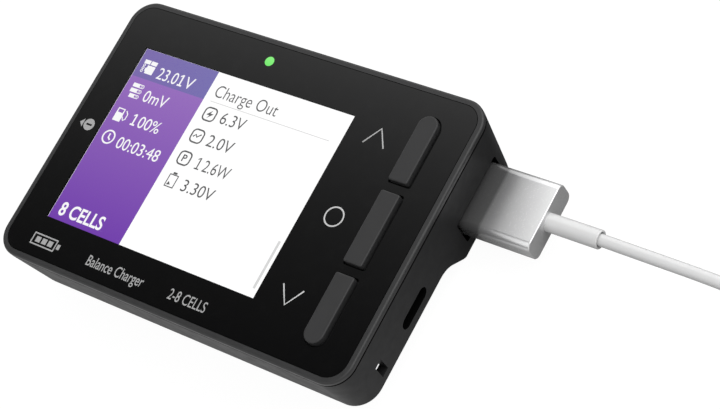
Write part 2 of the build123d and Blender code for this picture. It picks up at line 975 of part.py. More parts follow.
def make_balance_socket():
    mouth = left_balance + 0.15
    back = left_balance + balance_depth
    low = balance_z - balance_height / 2
    high = balance_z + balance_height / 2
    y0 = balance_y - balance_width / 2
    y1 = balance_y + balance_width / 2
    housing = block(mouth, back, y0, y1, low, high)
    wall = balance_wall
    housing -= block(mouth - 1, back - balance_back, y0 + wall, y1 - wall, low + wall, high - wall)
    # two keying slots in the front wall
    for y in (y0 + 3.4, y1 - 3.4):
        housing -= block(mouth - 1, back - balance_back - 2, y - 0.7, y + 0.7, high - wall - 0.5, high + 1)
    half = balance_pin / 2 + 0.001
    for y in balance_pin_places():
        housing -= block(mouth, back + 1, y - half, y + half, balance_z - half, balance_z + half)
    return housing


# ---------------------------------------------------------------- main battery socket
def power_outline(grow, x0, x1):
    """Six-sided outline with two cut corners, which stop a plug going in the wrong way."""
    w = power_width / 2 + grow
    h = power_height / 2 + grow
    cut = 2.4
    points = [(-w, -h), (w - cut, -h), (w, -h + cut), (w, h - cut), (w - cut, h), (-w, h)]
    section = Plane(origin=(x0, power_y, power_z), x_dir=(0, 1, 0), z_dir=(1, 0, 0))
    return extrude(section * make_face(Polyline(*points, close=True)), amount=x1 - x0)


def power_pin_places():
    return (power_y - power_pin_pitch / 2 - 0.5, power_y + power_pin_pitch / 2 - 0.5)


def make_power_socket():
    mouth = left_power + 0.5
    back = left_power + power_depth
    housing = power_outline(0, mouth, back)
    housing -= power_outline(-power_wall, mouth - 1, back - power_back)
    for y in power_pin_places():
        housing -= rod_x(back - power_back - 1, back + 1, y, power_z, power_pin_radius + 0.005)
    return housing


def make_power_pins():
    back = left_power + power_depth
    pins = []
    for y in power_pin_places():
        pin = rod_x(back - power_back - power_pin_length, back + 0.6, y, power_z, power_pin_radius)
        pins.append(fillet(pin.edges().group_by(Axis.X)[0], 0.5))
    return group(pins)


# ---------------------------------------------------------------- cord
lead_points = [
    (relief_end - relief_mouth, usb_y, usb_z),
    (72.0, 15.3, 5.6),
    (82.5, 15.3, 5.3),
    (92.0, 15.25, 4.0),
    (101.0, 15.3, 1.7),
    (109.5, 15.3, floor_z),
]
tail_points = [
    (112.0, -15.5, 7.7),
    (106.5, -15.7, 7.3),
    (99.8, -17.0, 4.6),
    (93.5, -19.8, 2.55),
]
far_turn = 204.0  # heading of the far plug, degrees from +X


def arc_radii(points):
    """As large an arc at each corner as its two runs allow."""
    radii = []
    for before, corner, after in zip(points, points[1:], points[2:]):
        run_in = Vector(*corner) - Vector(*before)
        run_out = Vector(*after) - Vector(*corner)
        half_turn = math.radians(run_in.get_angle(run_out)) / 2
        radii.append(0.45 * min(run_in.length, run_out.length) / math.tan(half_turn))
    return radii


def make_tube(points, name):
    """A plain round tube along straight runs joined by tangent arcs."""
    radii = arc_radii(points)
    path = FilletPolyline(*points, radius=radii)
    start = Plane(origin=path @ 0, z_dir=path % 0)
    tube = sweep(start * Circle(cable_radius), path=path)
    ratio = tube.volume / (math.pi * cable_radius**2 * path.length)
    print(name, "length", round(path.length, 1), "volume ratio", round(ratio, 4))
    print(name, "radii", [round(r, 1) for r in radii])
    return tube


def make_coil():
    half = coil_columns * cable_diameter / 2
    height = coil_layers * cable_diameter
    ring = rod(coil_x, coil_y, floor_gap, height, coil_radius + half)
    ring -= rod(coil_x, coil_y, -1, height + 1, coil_radius - half)
    edges = ring.edges().group_by(Axis.Z)
    return fillet(edges[0] + edges[-1], cable_radius * 0.8)


def far_frame():
    heading = math.radians(far_turn)
    end = tail_points[-1]
    return Plane(origin=end, x_dir=(-math.sin(heading), math.cos(heading), 0),
                 z_dir=(math.cos(heading), math.sin(heading), 0))


def far_bar(width, height, radius, start, length):
    """A bar of rounded section along the far plug's own axis."""
    plane = far_frame().offset(start)
    return extrude(plane * RectangleRounded(width, height, radius), amount=length)


def make_far_relief():
    plane = far_frame()
    return extrude(plane * Circle(far_relief_diameter / 2), amount=far_relief_length)


def make_far_body():
    body = far_bar(far_body_width, far_body_height, far_body_corner, far_relief_length, far_body_length)
    ends = body.faces().sort_by_distance(far_tip())
    return fillet(ends[0].edges() + ends[-1].edges(), far_body_edge)


def far_tip():
    """A point past the end of the far plug, on its axis."""
    return (far_frame().offset(2 * far_body_length)).origin


def make_far_tongue():
    start = far_relief_length + far_body_length
    outer = far_bar(far_tongue_width, far_tongue_height, 0.6, start, far_tongue_length)
    width = far_tongue_width - 2 * usb_sheet
    height = far_tongue_height - 2 * usb_sheet
    return outer - far_bar(width, height, 0.4, start + 1.0, far_tongue_length)


def make_cable_tie():
    """A strap closed round the bundle of turns, on the side away from the body."""
    half = coil_columns * cable_radius
    height = coil_layers * cable_diameter
    x = coil_x + coil_radius
    y0 = coil_y - tie_width / 2
    wall = tie_thickness
    outer = block(x - half - wall, x + half + wall, y0, y0 + tie_width, floor_gap, height + wall)
    outer = fillet(outer.edges().filter_by(Axis.Y).group_by(Axis.Z)[-1], tie_corner)
    return outer - block(x - half, x + half, y0 - 1, y0 + tie_width + 1, -1, height)


# ---------------------------------------------------------------- write every node
def build_nodes():
    insulator, spacer = make_socket_insulator()
    coil = make_coil()
    nodes = {
        "front_frame": make_front_frame(),
        "lens_panel": make_lens(),
        "lens_mask": make_mask(),
        "lens_adhesive": make_adhesive(),
        "rear_shell": make_rear_shell(),
        "rating_plate": make_rating_plate(),
        "case_screws": make_screws(),
        "display_cell": make_display_cell(),
        "display_backlight": make_backlight(),
        "display_tray": make_display_tray(),
        "display_flex": make_display_flex(),
        "flex_connector": make_flex_connector(),
        "main_board": make_board(),
        "status_led": make_led(),
        "light_pipe": make_light_pipe(),
        "controller_chip": make_controller(),
        "balance_resistors": make_balance_resistors(),
        "balance_transistors": make_balance_transistors(),
        "power_transistors": make_power_transistors(),
        "thermal_pad": make_thermal_pad(),
        "heat_block": make_heat_block(),
        "power_inductor": make_inductor(),
        "input_capacitors": make_capacitors(),
        "buzzer": make_buzzer(),
        "output_socket_shell": make_socket_shell(),
        "output_socket_tongue": insulator,
        "output_socket_spacer": spacer,
        "output_socket_contacts": make_socket_contacts(),
        "data_socket_shell": make_data_shell(),
        "data_socket_tongue": make_data_tongue(),
        "balance_socket": make_balance_socket(),
        "balance_pins": make_balance_pins(),
        "battery_socket": make_power_socket(),
        "battery_pins": make_power_pins(),
        "plug_sleeve": make_plug_sleeve(),
        "plug_tongue": make_plug_tongue(),
        "plug_insulator": make_plug_insulator(),
        "plug_contacts": make_plug_contacts(),
        "strain_relief": make_relief(),
        "cable_lead": make_tube(lead_points, "cable_lead") - coil,
        "cable_coil": coil,
        "cable_tail": make_tube(tail_points, "cable_tail") - coil,
        "cable_tie": make_cable_tie() - coil,
        "far_relief": make_far_relief(),
        "far_plug_body": make_far_body(),
        "far_plug_tongue": make_far_tongue(),
    }
    for index, name in enumerate(("up", "enter", "down")):
        nodes["key_" + name] = make_key(index)
        nodes["switch_base_" + name] = make_switch_base(index)
        nodes["switch_plunger_" + name] = make_plunger(index)
    return nodes


os.makedirs("parts", exist_ok=True)
for node, shape in build_nodes().items():
    export_step(shape, "parts/" + node + ".step")
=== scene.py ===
"""Looks of a pocket balance battery charger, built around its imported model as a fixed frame."""

import json
import logging
import math
from dataclasses import dataclass, field
from enum import Enum
from typing import Callable, Iterable, Sequence

import bmesh
import bpy
from mathutils import Matrix, Vector


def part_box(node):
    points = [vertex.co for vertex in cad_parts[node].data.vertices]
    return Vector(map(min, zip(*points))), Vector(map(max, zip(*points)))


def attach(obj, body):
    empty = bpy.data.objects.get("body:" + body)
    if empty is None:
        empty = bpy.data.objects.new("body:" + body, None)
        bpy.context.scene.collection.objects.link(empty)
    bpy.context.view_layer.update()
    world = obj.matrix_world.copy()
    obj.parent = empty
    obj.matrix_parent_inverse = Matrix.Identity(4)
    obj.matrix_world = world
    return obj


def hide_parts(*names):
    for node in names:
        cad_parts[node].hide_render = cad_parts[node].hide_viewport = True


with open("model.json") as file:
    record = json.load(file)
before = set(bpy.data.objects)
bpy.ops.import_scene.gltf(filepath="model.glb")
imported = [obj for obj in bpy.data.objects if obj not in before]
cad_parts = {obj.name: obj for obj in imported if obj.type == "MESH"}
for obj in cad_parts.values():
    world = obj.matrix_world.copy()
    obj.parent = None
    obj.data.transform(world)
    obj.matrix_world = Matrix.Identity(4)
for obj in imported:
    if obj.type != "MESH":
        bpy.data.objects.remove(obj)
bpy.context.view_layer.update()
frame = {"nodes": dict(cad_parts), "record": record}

MM = 0.001
MERGE = 0.001 * MM  # corners of a node nearer than this are one
FINE = 0.0005 * MM  # the same for meshes that are made here
FLAT = 0.4  # degrees under which two faces count as one flat face
CAPITAL = 0.69  # height of the built-in typeface's capitals, at size 1
ACTIVE = (48.96, 36.72)  # lit area of the display, in millimetres
LOG = logging.getLogger("charger")
Colour = tuple[float, float, float]
Point = tuple[float, float]


# ------------------------------------------------------------------ node wiring
class Graph:
    """A node tree that is being wired, with the object's own coordinates at hand."""

    def __init__(self, tree: bpy.types.NodeTree) -> None:
        """Takes an empty node tree.

        Args:
            tree: The tree of a material or a world.
        """
        self.tree = tree
        self.tree.nodes.clear()

    def add(self, kind: str, inputs: dict | None = None, **settings) -> bpy.types.Node:
        """Adds one node and fills its inputs.

        Args:
            kind: The node's type name.
            inputs: Values or output sockets, by input name or number.
            **settings: Properties of the node itself.

        Returns:
            The new node.
        """
        node = self.tree.nodes.new(kind)
        for key, value in settings.items():
            setattr(node, key, value)
        for key, value in (inputs or {}).items():
            if isinstance(value, bpy.types.NodeSocket):
                self.tree.links.new(value, node.inputs[key])
            else:
                node.inputs[key].default_value = value
        return node

    def place(self, stretch: Sequence[float] = (1, 1, 1),
              shift: Sequence[float] = (0, 0, 0)) -> bpy.types.NodeSocket:
        """Gives the object's coordinates, stretched and moved.

        Args:
            stretch: Scale along each axis.
            shift: Where the pattern's centre goes, in metres.

        Returns:
            A vector socket.
        """
        source = self.add("ShaderNodeTexCoord").outputs["Object"]
        mapping = self.add("ShaderNodeMapping", {"Vector": source, "Scale": stretch}, vector_type="POINT")
        mapping.inputs["Location"].default_value = [-s * k for s, k in zip(shift, stretch)]
        return mapping.outputs["Vector"]

    def noise(self, size: float, detail: float = 3.0,
              stretch: Sequence[float] = (1, 1, 1)) -> bpy.types.NodeSocket:
        """Gives a noise value between 0 and 1.

        Args:
            size: How large one blotch is, in metres.
            detail: How many finer layers it has.
            stretch: Scale of the pattern along each axis.

        Returns:
            A value socket.
        """
        inputs = {"Vector": self.place(stretch), "Scale": 1 / size, "Detail": detail, "Roughness": 0.55}
        return self.add("ShaderNodeTexNoise", inputs).outputs["Fac"]

    def spread(self, value: bpy.types.NodeSocket, low: float, high: float,
               start: float = 0.3, end: float = 0.7) -> bpy.types.NodeSocket:
        """Maps a value to a new range.

        Args:
            value: The value socket.
            low: Result at start.
            high: Result at end.
            start: Value that gives low.
            end: Value that gives high.

        Returns:
            A value socket.
        """
        inputs = {"Value": value, "From Min": start, "From Max": end, "To Min": low, "To Max": high}
        return self.add("ShaderNodeMapRange", inputs).outputs["Result"]

    def shade(self, factor: bpy.types.NodeSocket, first: Colour, second: Colour) -> bpy.types.NodeSocket:
        """Blends two colours.

        Args:
            factor: 0 gives the first colour and 1 the second.
            first: Linear colour.
            second: Linear colour.

        Returns:
            A colour socket.
        """
        mix = self.add("ShaderNodeMix", data_type="RGBA")
        self.tree.links.new(factor, mix.inputs["Factor"])
        mix.inputs["A"].default_value = (*first, 1)
        mix.inputs["B"].default_value = (*second, 1)
        return mix.outputs["Result"]

    def fade(self, tone: bpy.types.NodeSocket, stops: Sequence[tuple[float, float]]) -> bpy.types.NodeSocket:
        """Dims a colour along the object's X axis, to paint reflection and shade into it.

        Args:
            tone: The colour socket.
            stops: Places along X, in metres, each with the share of the colour there.

        Returns:
            A colour socket.
        """
        start, end = stops[0][0], stops[-1][0]
        along = self.add("ShaderNodeSeparateXYZ", {0: self.place()}).outputs["X"]
        ramp = self.add("ShaderNodeValToRGB", {"Fac": self.spread(along, 0.0, 1.0, start, end)})
        elements = ramp.color_ramp.elements
        while len(elements) < len(stops):
            elements.new(0.5)
        for element, (place, share) in zip(elements, stops):
            element.position = (place - start) / (end - start)
            element.color = (share, share, share, 1)
        return self.multiply(tone, ramp.outputs["Color"])

    def multiply(self, first: bpy.types.NodeSocket, second: bpy.types.NodeSocket) -> bpy.types.NodeSocket:
        """Multiplies two colours.

        Args:
            first: The first colour.
            second: The second colour.

        Returns:
            A colour socket.
        """
        mix = self.add("ShaderNodeMix", data_type="RGBA", blend_type="MULTIPLY")
        mix.inputs["Factor"].default_value = 1.0
        self.tree.links.new(first, mix.inputs["A"])
        self.tree.links.new(second, mix.inputs["B"])
        return mix.outputs["Result"]

    def bump(self, heights: Sequence[tuple[bpy.types.NodeSocket, float]]) -> dict[str, bpy.types.NodeSocket]:
        """Chains bumps of real depth, leaving out those without any.

        Args:
            heights: Height sockets with their depth in metres.

        Returns:
            The shader's normal input, or nothing for a smooth surface.
        """
        normal = None
        for height, depth in heights:
            if depth == 0:
                continue
            node = self.add("ShaderNodeBump", {"Height": height, "Distance": depth, "Strength": 1.0})
            if normal is not None:
                self.tree.links.new(normal, node.inputs["Normal"])
            normal = node.outputs["Normal"]
        return {} if normal is None else {"Normal": normal}

    def surface(self, inputs: dict) -> None:
        """Ends the tree with one principled shader, filled as given."""
        shader = self.add("ShaderNodeBsdfPrincipled", inputs)
        output = self.add("ShaderNodeOutputMaterial")
        self.tree.links.new(shader.outputs["BSDF"], output.inputs["Surface"])


def new_graph(name: str) -> tuple[bpy.types.Material, Graph]:
    """Starts a material.

    Args:
        name: The material's name.

    Returns:
        The material and the graph of its nodes.
    """
    material = bpy.data.materials.new(name)
    material.use_nodes = True
    return material, Graph(material.node_tree)


def scaled(colour: Colour, factor: float) -> Colour:
    """Gives a lighter or darker version of a linear colour."""
    return tuple(min(1.0, channel * factor) for channel in colour)


# ------------------------------------------------------------------ finishes
@dataclass(frozen=True)
class Moulding:
    """Moulded plastic or rubber, with spark texture and faint mottling.

    Args:
        name: Material name.
        colour: Linear colour.
        roughness: Middle roughness.
        grain_size: One grain of the texture, in metres.
        grain_depth: Depth of the texture, in metres.
        mottle: How much the colour drifts, as a share.
        specular: Strength of the surface reflection.
        soft: Share of light scattered under the surface.
    """

    name: str
    colour: Colour
    roughness: float = 0.45
    grain_size: float = 0.16 * MM
    grain_depth: float = 0.004 * MM
    mottle: float = 0.12
    specular: float = 0.5
    soft: float = 0.0

    def build(self) -> bpy.types.Material:
        """Makes the material and gives it back."""
        material, graph = new_graph(self.name)
        fine = graph.noise(self.grain_size, 2.0)
        broad = graph.noise(9 * MM, 4.0)
        handled = graph.noise(2.2 * MM, 5.0)
        graph.surface({
            "Base Color": graph.shade(broad, scaled(self.colour, 1 - self.mottle),
                                      scaled(self.colour, 1 + self.mottle)),
            "Roughness": graph.spread(handled, self.roughness - 0.05, self.roughness + 0.05),
            "Specular IOR Level": self.specular,
            "Subsurface Weight": self.soft,
            "Subsurface Radius": (1, 0.9, 0.8),
            "Subsurface Scale": 0.4 * MM,
            **graph.bump([(handled, self.grain_depth * 0.6), (fine, self.grain_depth)]),
        })
        return material


@dataclass(frozen=True)
class Metal:
    """Metal with a blasted, brushed or rolled surface.

    Args:
        name: Material name.
        colour: Linear colour.
        roughness: Middle roughness.
        brush: Pattern scale along each axis; a small value draws it out along that axis.
        line: Width of one line or grain, in metres.
        depth: Depth of the lines, in metres.
        metallic: Share of bare metal, the rest being the blasted scatter.
        fade: Places along X, in metres, each with its share of the colour, painting reflection and shade into
            it; empty for one colour.
    """

    name: str
    colour: Colour
    roughness: float = 0.3
    brush: tuple[float, float, float] = (1, 1, 1)
    line: float = 0.12 * MM
    depth: float = 0.0012 * MM
    metallic: float = 1.0
    fade: tuple[tuple[float, float], ...] = ()

    def build(self) -> bpy.types.Material:
        """Makes the material and gives it back."""
        material, graph = new_graph(self.name)
        lines = graph.noise(self.line, 3.0, self.brush)
        cloud = graph.noise(4 * MM, 4.0)
        tone = graph.shade(cloud, scaled(self.colour, 0.95), scaled(self.colour, 1.04))
        graph.surface({
            "Base Color": graph.fade(tone, self.fade) if self.fade else tone,
            "Metallic": self.metallic,
            "Roughness": graph.spread(lines, self.roughness - 0.05, self.roughness + 0.06),
            **graph.bump([(lines, self.depth)]),
        })
        return material


@dataclass(frozen=True)
class ClearPanel:
    """Hard-coated clear acrylic, or glass, with a faint trace of handling.

    Args:
        name: Material name.
        tint: Linear colour of the light that passes.
        roughness: Middle roughness.
        index: Index of refraction.
    """

    name: str
    tint: Colour = (1, 1, 1)
    roughness: float = 0.012
    index: float = 1.49

    def build(self) -> bpy.types.Material:
        """Makes the material and gives it back."""
        material, graph = new_graph(self.name)
        trace = graph.noise(6 * MM, 5.0)
        waves = graph.noise(18 * MM, 1.0)
        graph.surface({
            "Base Color": (*self.tint, 1),
            "Roughness": graph.spread(trace, max(0, self.roughness - 0.01), self.roughness + 0.012),
            "IOR": self.index,
            "Transmission Weight": 1.0,
            **graph.bump([(waves, 0.0006 * MM)]),
        })
        return material


@dataclass(frozen=True)
class Lit:
    """A lit area of a display or a lamp, whose colour can run from one end to the other.

    Args:
        name: Material name.
        colour: Linear colour at the start.
        far_colour: Linear colour at the end, or None for the same.
        axis: 0, 1 or 2, the way it runs.
        start: Where it starts along that axis, in metres.
        end: Where it ends, in metres.
        strength: Emission strength.
        pitch: Distance between the display's dots, in metres, or 0 for none.
    """

    name: str
    colour: Colour
    far_colour: Colour | None = None
    axis: int = 1
    start: float = 0.0
    end: float = 1.0
    strength: float = 1.0
    pitch: float = 0.0

    def build(self) -> bpy.types.Material:
        """Makes the material and gives it back."""
        material, graph = new_graph(self.name)
        parts = graph.add("ShaderNodeSeparateXYZ", {"Vector": graph.place()})
        along = graph.spread(parts.outputs[self.axis], 0, 1, self.start, self.end)
        far = self.far_colour or scaled(self.colour, 0.97)
        colour = graph.shade(along, self.colour, far)
        if self.pitch:
            grid = graph.add("ShaderNodeTexBrick", {
                "Vector": graph.place(), "Color1": (1, 1, 1, 1), "Color2": (1, 1, 1, 1),
                "Mortar": (0.93, 0.93, 0.93, 1), "Scale": 1.0, "Mortar Size": 0.08 * self.pitch,
                "Mortar Smooth": 0.3, "Brick Width": self.pitch, "Row Height": self.pitch,
            }, offset=0.0)
            colour = graph.multiply(colour, grid.outputs["Color"])
        graph.surface({
            "Base Color": (0.0, 0.0, 0.0, 1), "Roughness": 0.5, "Specular IOR Level": 0.0,
            "Emission Color": colour, "Emission Strength": self.strength,
        })
        return material


@dataclass(frozen=True)
class Laminate:
    """Circuit board with solder mask over fine copper tracks.

    Args:
        name: Material name.
        colour: Linear colour of the solder mask.
        track: Linear colour over copper.
    """

    name: str
    colour: Colour = (0.004, 0.03, 0.012)
    track: Colour = (0.012, 0.085, 0.035)

    def build(self) -> bpy.types.Material:
        """Makes the material and gives it back."""
        material, graph = new_graph(self.name)
        cells = graph.add("ShaderNodeTexVoronoi", {"Vector": graph.place(), "Scale": 1 / (1.6 * MM)},
                          distance="MANHATTAN", feature="F1")
        tracks = graph.spread(cells.outputs["Distance"], 0, 1, 0.32, 0.38)
        graph.surface({
            "Base Color": graph.shade(tracks, self.colour, self.track),
            "Roughness": graph.spread(graph.noise(0.5 * MM), 0.28, 0.4),
            **graph.bump([(tracks, 0.02 * MM)]),
        })
        return material


Finish = Moulding | Metal | ClearPanel | Lit | Laminate


class FinishRack:
    """Keeps one material for each finish."""

    _made: dict[str, bpy.types.Material] = {}

    @classmethod
    def material(cls, finish: Finish) -> bpy.types.Material:
        """Gives the finish's material, made once."""
        if finish.name not in cls._made:
            cls._made[finish.name] = finish.build()
        return cls._made[finish.name]


CASE = Moulding("case_satin_black", (0.016, 0.016, 0.0165), 0.46, 0.14 * MM, 0.003 * MM, 0.12, 0.15)
FRAME = Moulding("frame_satin_black", (0.024, 0.024, 0.0245), 0.36, 0.12 * MM, 0.0015 * MM, 0.12, 0.35)
KEYCAP = Moulding("keycap_satin", (0.023, 0.023, 0.0235), 0.45, 0.1 * MM, 0.0015 * MM, 0.08, 0.3)
MASK = Moulding("lens_mask_print", (0.0015, 0.0015, 0.0016), 0.35, 0.3 * MM, 0.0, 0.05, 0.2)
LENS_BORDER = Moulding("lens_gloss_black_border", (0.0015, 0.0015, 0.0016), 0.06, 1 * MM, 0.0, 0.05, 0.5)
# painted shadow: near black for the parting groove and the walls inside the socket openings
SHADOW = Moulding("case_recess_painted_shadow", (0.002, 0.002, 0.002), 0.8, 0.2 * MM, 0.0, 0.1, 0.02)
EDGE_PAINT = Moulding("lens_edge_black", (0.002, 0.002, 0.002), 0.6, 0.2 * MM, 0.0, 0.1, 0.1)
LENS = ClearPanel("lens_hard_coat")
FOAM = Moulding("black_foam_tape", (0.01, 0.01, 0.01), 0.9, 0.2 * MM, 0.02 * MM)
LABEL = Moulding("plate_satin_film", (0.09, 0.09, 0.095), 0.38, 0.3 * MM, 0.001 * MM, 0.05)
LABEL_INK = Moulding("plate_grey_ink", (0.45, 0.45, 0.46), 0.5, 0.2 * MM, 0.0, 0.05)
PRINT = Moulding("lens_pale_ink", (0.3, 0.3, 0.3), 0.5, 0.2 * MM, 0.0, 0.04)
PRINT_THIN = Moulding("lens_key_mark_ink", (0.46, 0.46, 0.46), 0.5, 0.2 * MM, 0.0, 0.04)
SCREW = Metal("screw_black_zinc", (0.10, 0.10, 0.105), 0.35, (1, 1, 1), 0.2 * MM, 0.003 * MM)
# painted reflection and shade along the sleeve: a dark band by the wall where the dark case is mirrored, a
# step, painted light rising to the outer end, painted shade on the darker end face
SLEEVE_PAINTED_REFLECTION = ((38.6 * MM, 0.12), (42.5 * MM, 0.16), (43.1 * MM, 0.34), (52.6 * MM, 1.0), (52.98 * MM, 0.7))
# the sleeve's base colour carries that painted reflection and shade along X
ALUMINIUM = Metal("sleeve_blasted_aluminium_painted_reflection", (0.95, 0.95, 0.955), 0.22, (0.3, 1, 1), 0.08 * MM, 0.0006 * MM,
                  0.62, SLEEVE_PAINTED_REFLECTION)
BACKLIGHT = Moulding("backlight_white", (0.85, 0.85, 0.85), 0.3, 0.3 * MM, 0.001 * MM)
TRAY = Metal("tray_rolled_steel", (0.55, 0.55, 0.54), 0.35, (0.1, 1, 1), 0.15 * MM, 0.002 * MM)
FLEX = Moulding("flex_amber_film", (0.45, 0.17, 0.03), 0.25, 0.6 * MM, 0.002 * MM)
CONNECTOR = Moulding("connector_cream", (0.65, 0.6, 0.5), 0.45)
EPOXY = Moulding("chip_epoxy", (0.02, 0.02, 0.02), 0.55, 0.12 * MM, 0.006 * MM)
CERAMIC = Moulding("resistor_glaze", (0.04, 0.04, 0.045), 0.2, 0.4 * MM, 0.002 * MM)
THERMAL = Moulding("thermal_pad_grey_blue", (0.3, 0.36, 0.46), 0.75, 0.3 * MM, 0.02 * MM)
HEAT = Metal("heat_block_sawn", (0.68, 0.68, 0.69), 0.38, (1, 0.08, 1), 0.1 * MM, 0.003 * MM)
FERRITE = Moulding("inductor_powder", (0.1, 0.1, 0.105), 0.7, 0.2 * MM, 0.02 * MM)
CAN = Metal("capacitor_can", (0.7, 0.7, 0.71), 0.25, (1, 1, 0.1), 0.2 * MM, 0.001 * MM)
DARK = Moulding("black_moulding", (0.018, 0.018, 0.019), 0.5)
STEEL = Metal("socket_nickel", (0.6, 0.59, 0.57), 0.24, (0.1, 1, 1), 0.1 * MM, 0.001 * MM)
BLACKENED = Metal("socket_black_nickel", (0.02, 0.02, 0.021), 0.4, (0.1, 1, 1), 0.1 * MM, 0.001 * MM)
GOLD = Metal("contact_gold", (0.83, 0.58, 0.22), 0.22, (0.1, 1, 1), 0.1 * MM, 0.001 * MM)
NYLON = Moulding("balance_nylon_natural", (0.66, 0.63, 0.54), 0.42, 0.2 * MM, 0.003 * MM, 0.06, 0.5, 0.2)
YELLOW = Moulding("battery_nylon_yellow", (0.72, 0.42, 0.02), 0.42, 0.2 * MM, 0.003 * MM, 0.06, 0.5, 0.1)
WHITE = Moulding("plug_insulator_white", (0.8, 0.8, 0.8), 0.4, 0.2 * MM, 0.002 * MM)
JACKET = Moulding("cable_white_jacket", (0.62, 0.62, 0.62), 0.15, 0.5 * MM, 0.001 * MM, 0.03, 0.6, 0.05)
STRAP = Moulding("tie_black_nylon", (0.02, 0.02, 0.02), 0.6, 0.25 * MM, 0.03 * MM)
CREAM = Moulding("switch_plunger_cream", (0.5, 0.47, 0.38), 0.45)
GREEN_LIGHT = Lit("status_light_green", (0.19, 0.80, 0.17), (0.26, 0.86, 0.22), 1, 22.2 * MM, 23.9 * MM, 1.05)
GREEN_CHIP = Moulding("status_chip", (0.6, 0.7, 0.5), 0.3)


# ------------------------------------------------------------------ shared building
SLOT_OF = {part["node"]: part["material_slot"] for part in frame["record"]["subparts"]}


def link(name: str, mesh: bpy.types.Mesh) -> bpy.types.Object:
    """Puts a mesh in the scene as an object at the origin and gives that object."""
    piece = bpy.data.objects.new(name, mesh)
    bpy.context.scene.collection.objects.link(piece)
    return piece


def dress(piece: bpy.types.Object, finish: Finish) -> None:
    """Gives a piece one finish all over."""
    piece.data.materials.clear()
    piece.data.materials.append(FinishRack.material(finish))


def weigh_normals(piece: bpy.types.Object) -> None:
    """Keeps flat faces flat beside round edges."""
    modifier = piece.modifiers.new("flat_faces", "WEIGHTED_NORMAL")
    modifier.keep_sharp = True


def crease(shape: bmesh.types.BMesh, degrees: float) -> None:
    """Shades a mesh smooth, apart from edges sharper than an angle.

    Args:
        shape: The mesh to shade.
        degrees: The angle past which an edge stays sharp.
    """
    for face in shape.faces:
        face.smooth = True
    for edge in shape.edges:
        edge.smooth = edge.calc_face_angle(0.0) < math.radians(degrees)


def install(piece: bpy.types.Object, body: str, finish: Finish,
            stands_for: Sequence[str] = ()) -> bpy.types.Object:
    """Dresses a piece, fixes it to its body and hides the nodes it stands for.

    Args:
        piece: The finished piece, in place.
        body: The body it moves with.
        finish: Its finish.
        stands_for: Nodes that it replaces.

    Returns:
        The piece.
    """
    dress(piece, finish)
    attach(piece, body)
    if stands_for:
        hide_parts(*stands_for)
    LOG.info("%s rides on %s", piece.name, body)
    return piece


def merged(node: str) -> bmesh.types.BMesh:
    """Gives a copy of a node's mesh with its doubled corners joined."""
    shape = bmesh.new()
    shape.from_mesh(frame["nodes"][node].data)
    bmesh.ops.remove_doubles(shape, verts=shape.verts, dist=MERGE)
    return shape


def refined(node: str, body: str, finish: Finish, degrees: float = 30.0,
            edge: float = 0.0) -> bpy.types.Object:
    """Makes a merged, smooth-shaded copy of a node that stands for it.

    Args:
        node: The node's name.
        body: The body it moves with.
        finish: Its finish.
        degrees: Sharpest angle that is shaded smooth.
        edge: Width of the rounding on its sharp edges, in metres, or 0.

    Returns:
        The new piece.
    """
    shape = merged(node)
    bmesh.ops.dissolve_limit(shape, angle_limit=math.radians(FLAT), verts=shape.verts, edges=shape.edges)
    crease(shape, degrees)
    piece = placed(shape, node + "_finished")
    if edge:
        modifier = piece.modifiers.new("edges", "BEVEL")
        modifier.width = edge
        modifier.segments = 2
        modifier.limit_method = "ANGLE"
        modifier.angle_limit = math.radians(degrees)
        modifier.harden_normals = True
    else:
        weigh_normals(piece)
    return install(piece, body, finish, [node])


def repaint(piece: bpy.types.Object, finish: Finish, chosen: Callable[[Vector, Vector], bool]) -> None:
    """Gives some faces of a piece a second finish.

    Args:
        piece: The piece.
        finish: The second finish.
        chosen: Tells from a face's centre and normal whether it takes that finish.
    """
    piece.data.materials.append(FinishRack.material(finish))
    for face in piece.data.polygons:
        if chosen(face.center, face.normal):
            face.material_index = len(piece.data.materials) - 1


def dress_nodes(finishes: dict[str, Finish]) -> None:
    """Gives finishes to nodes that are shown as they are."""
    for node, finish in finishes.items():
        dress(frame["nodes"][node], finish)
        LOG.info("%s keeps its shape, finish %s", node, finish.name)


def bevelled(shape: bmesh.types.BMesh, edges: Iterable[bmesh.types.BMEdge], width: float,
             segments: int) -> None:
    """Rounds edges of a mesh.

    Args:
        shape: The mesh.
        edges: The edges to round.
        width: Radius, in metres.
        segments: Steps across the rounding.
    """
    bmesh.ops.bevel(shape, geom=list(edges), offset=width, offset_type="OFFSET", affect="EDGES",
                    segments=segments, profile=0.5, material=-1, clamp_overlap=True)


def rounded_bar(size: Sequence[float], long_radius: float, end_radius: float) -> bmesh.types.BMesh:
    """A bar along X with round long edges and softened ends, centred on the origin.

    Args:
        size: Length, width and height.
        long_radius: Radius of the edges along X.
        end_radius: Radius round both ends.

    Returns:
        The new mesh.
    """
    shape = bmesh.new()
    bmesh.ops.create_cube(shape, size=1.0, matrix=Matrix.Diagonal((*size, 1)))
    along = [e for e in shape.edges if abs((e.verts[0].co - e.verts[1].co).x) > size[0] / 2]
    bevelled(shape, along, long_radius, 8)
    ends = [e for e in shape.edges if len({round(f.normal.x, 1) for f in e.link_faces}) == 2]
    bevelled(shape, ends, end_radius, 4)
    bmesh.ops.remove_doubles(shape, verts=shape.verts, dist=FINE)
    crease(shape, 40)
    return shape


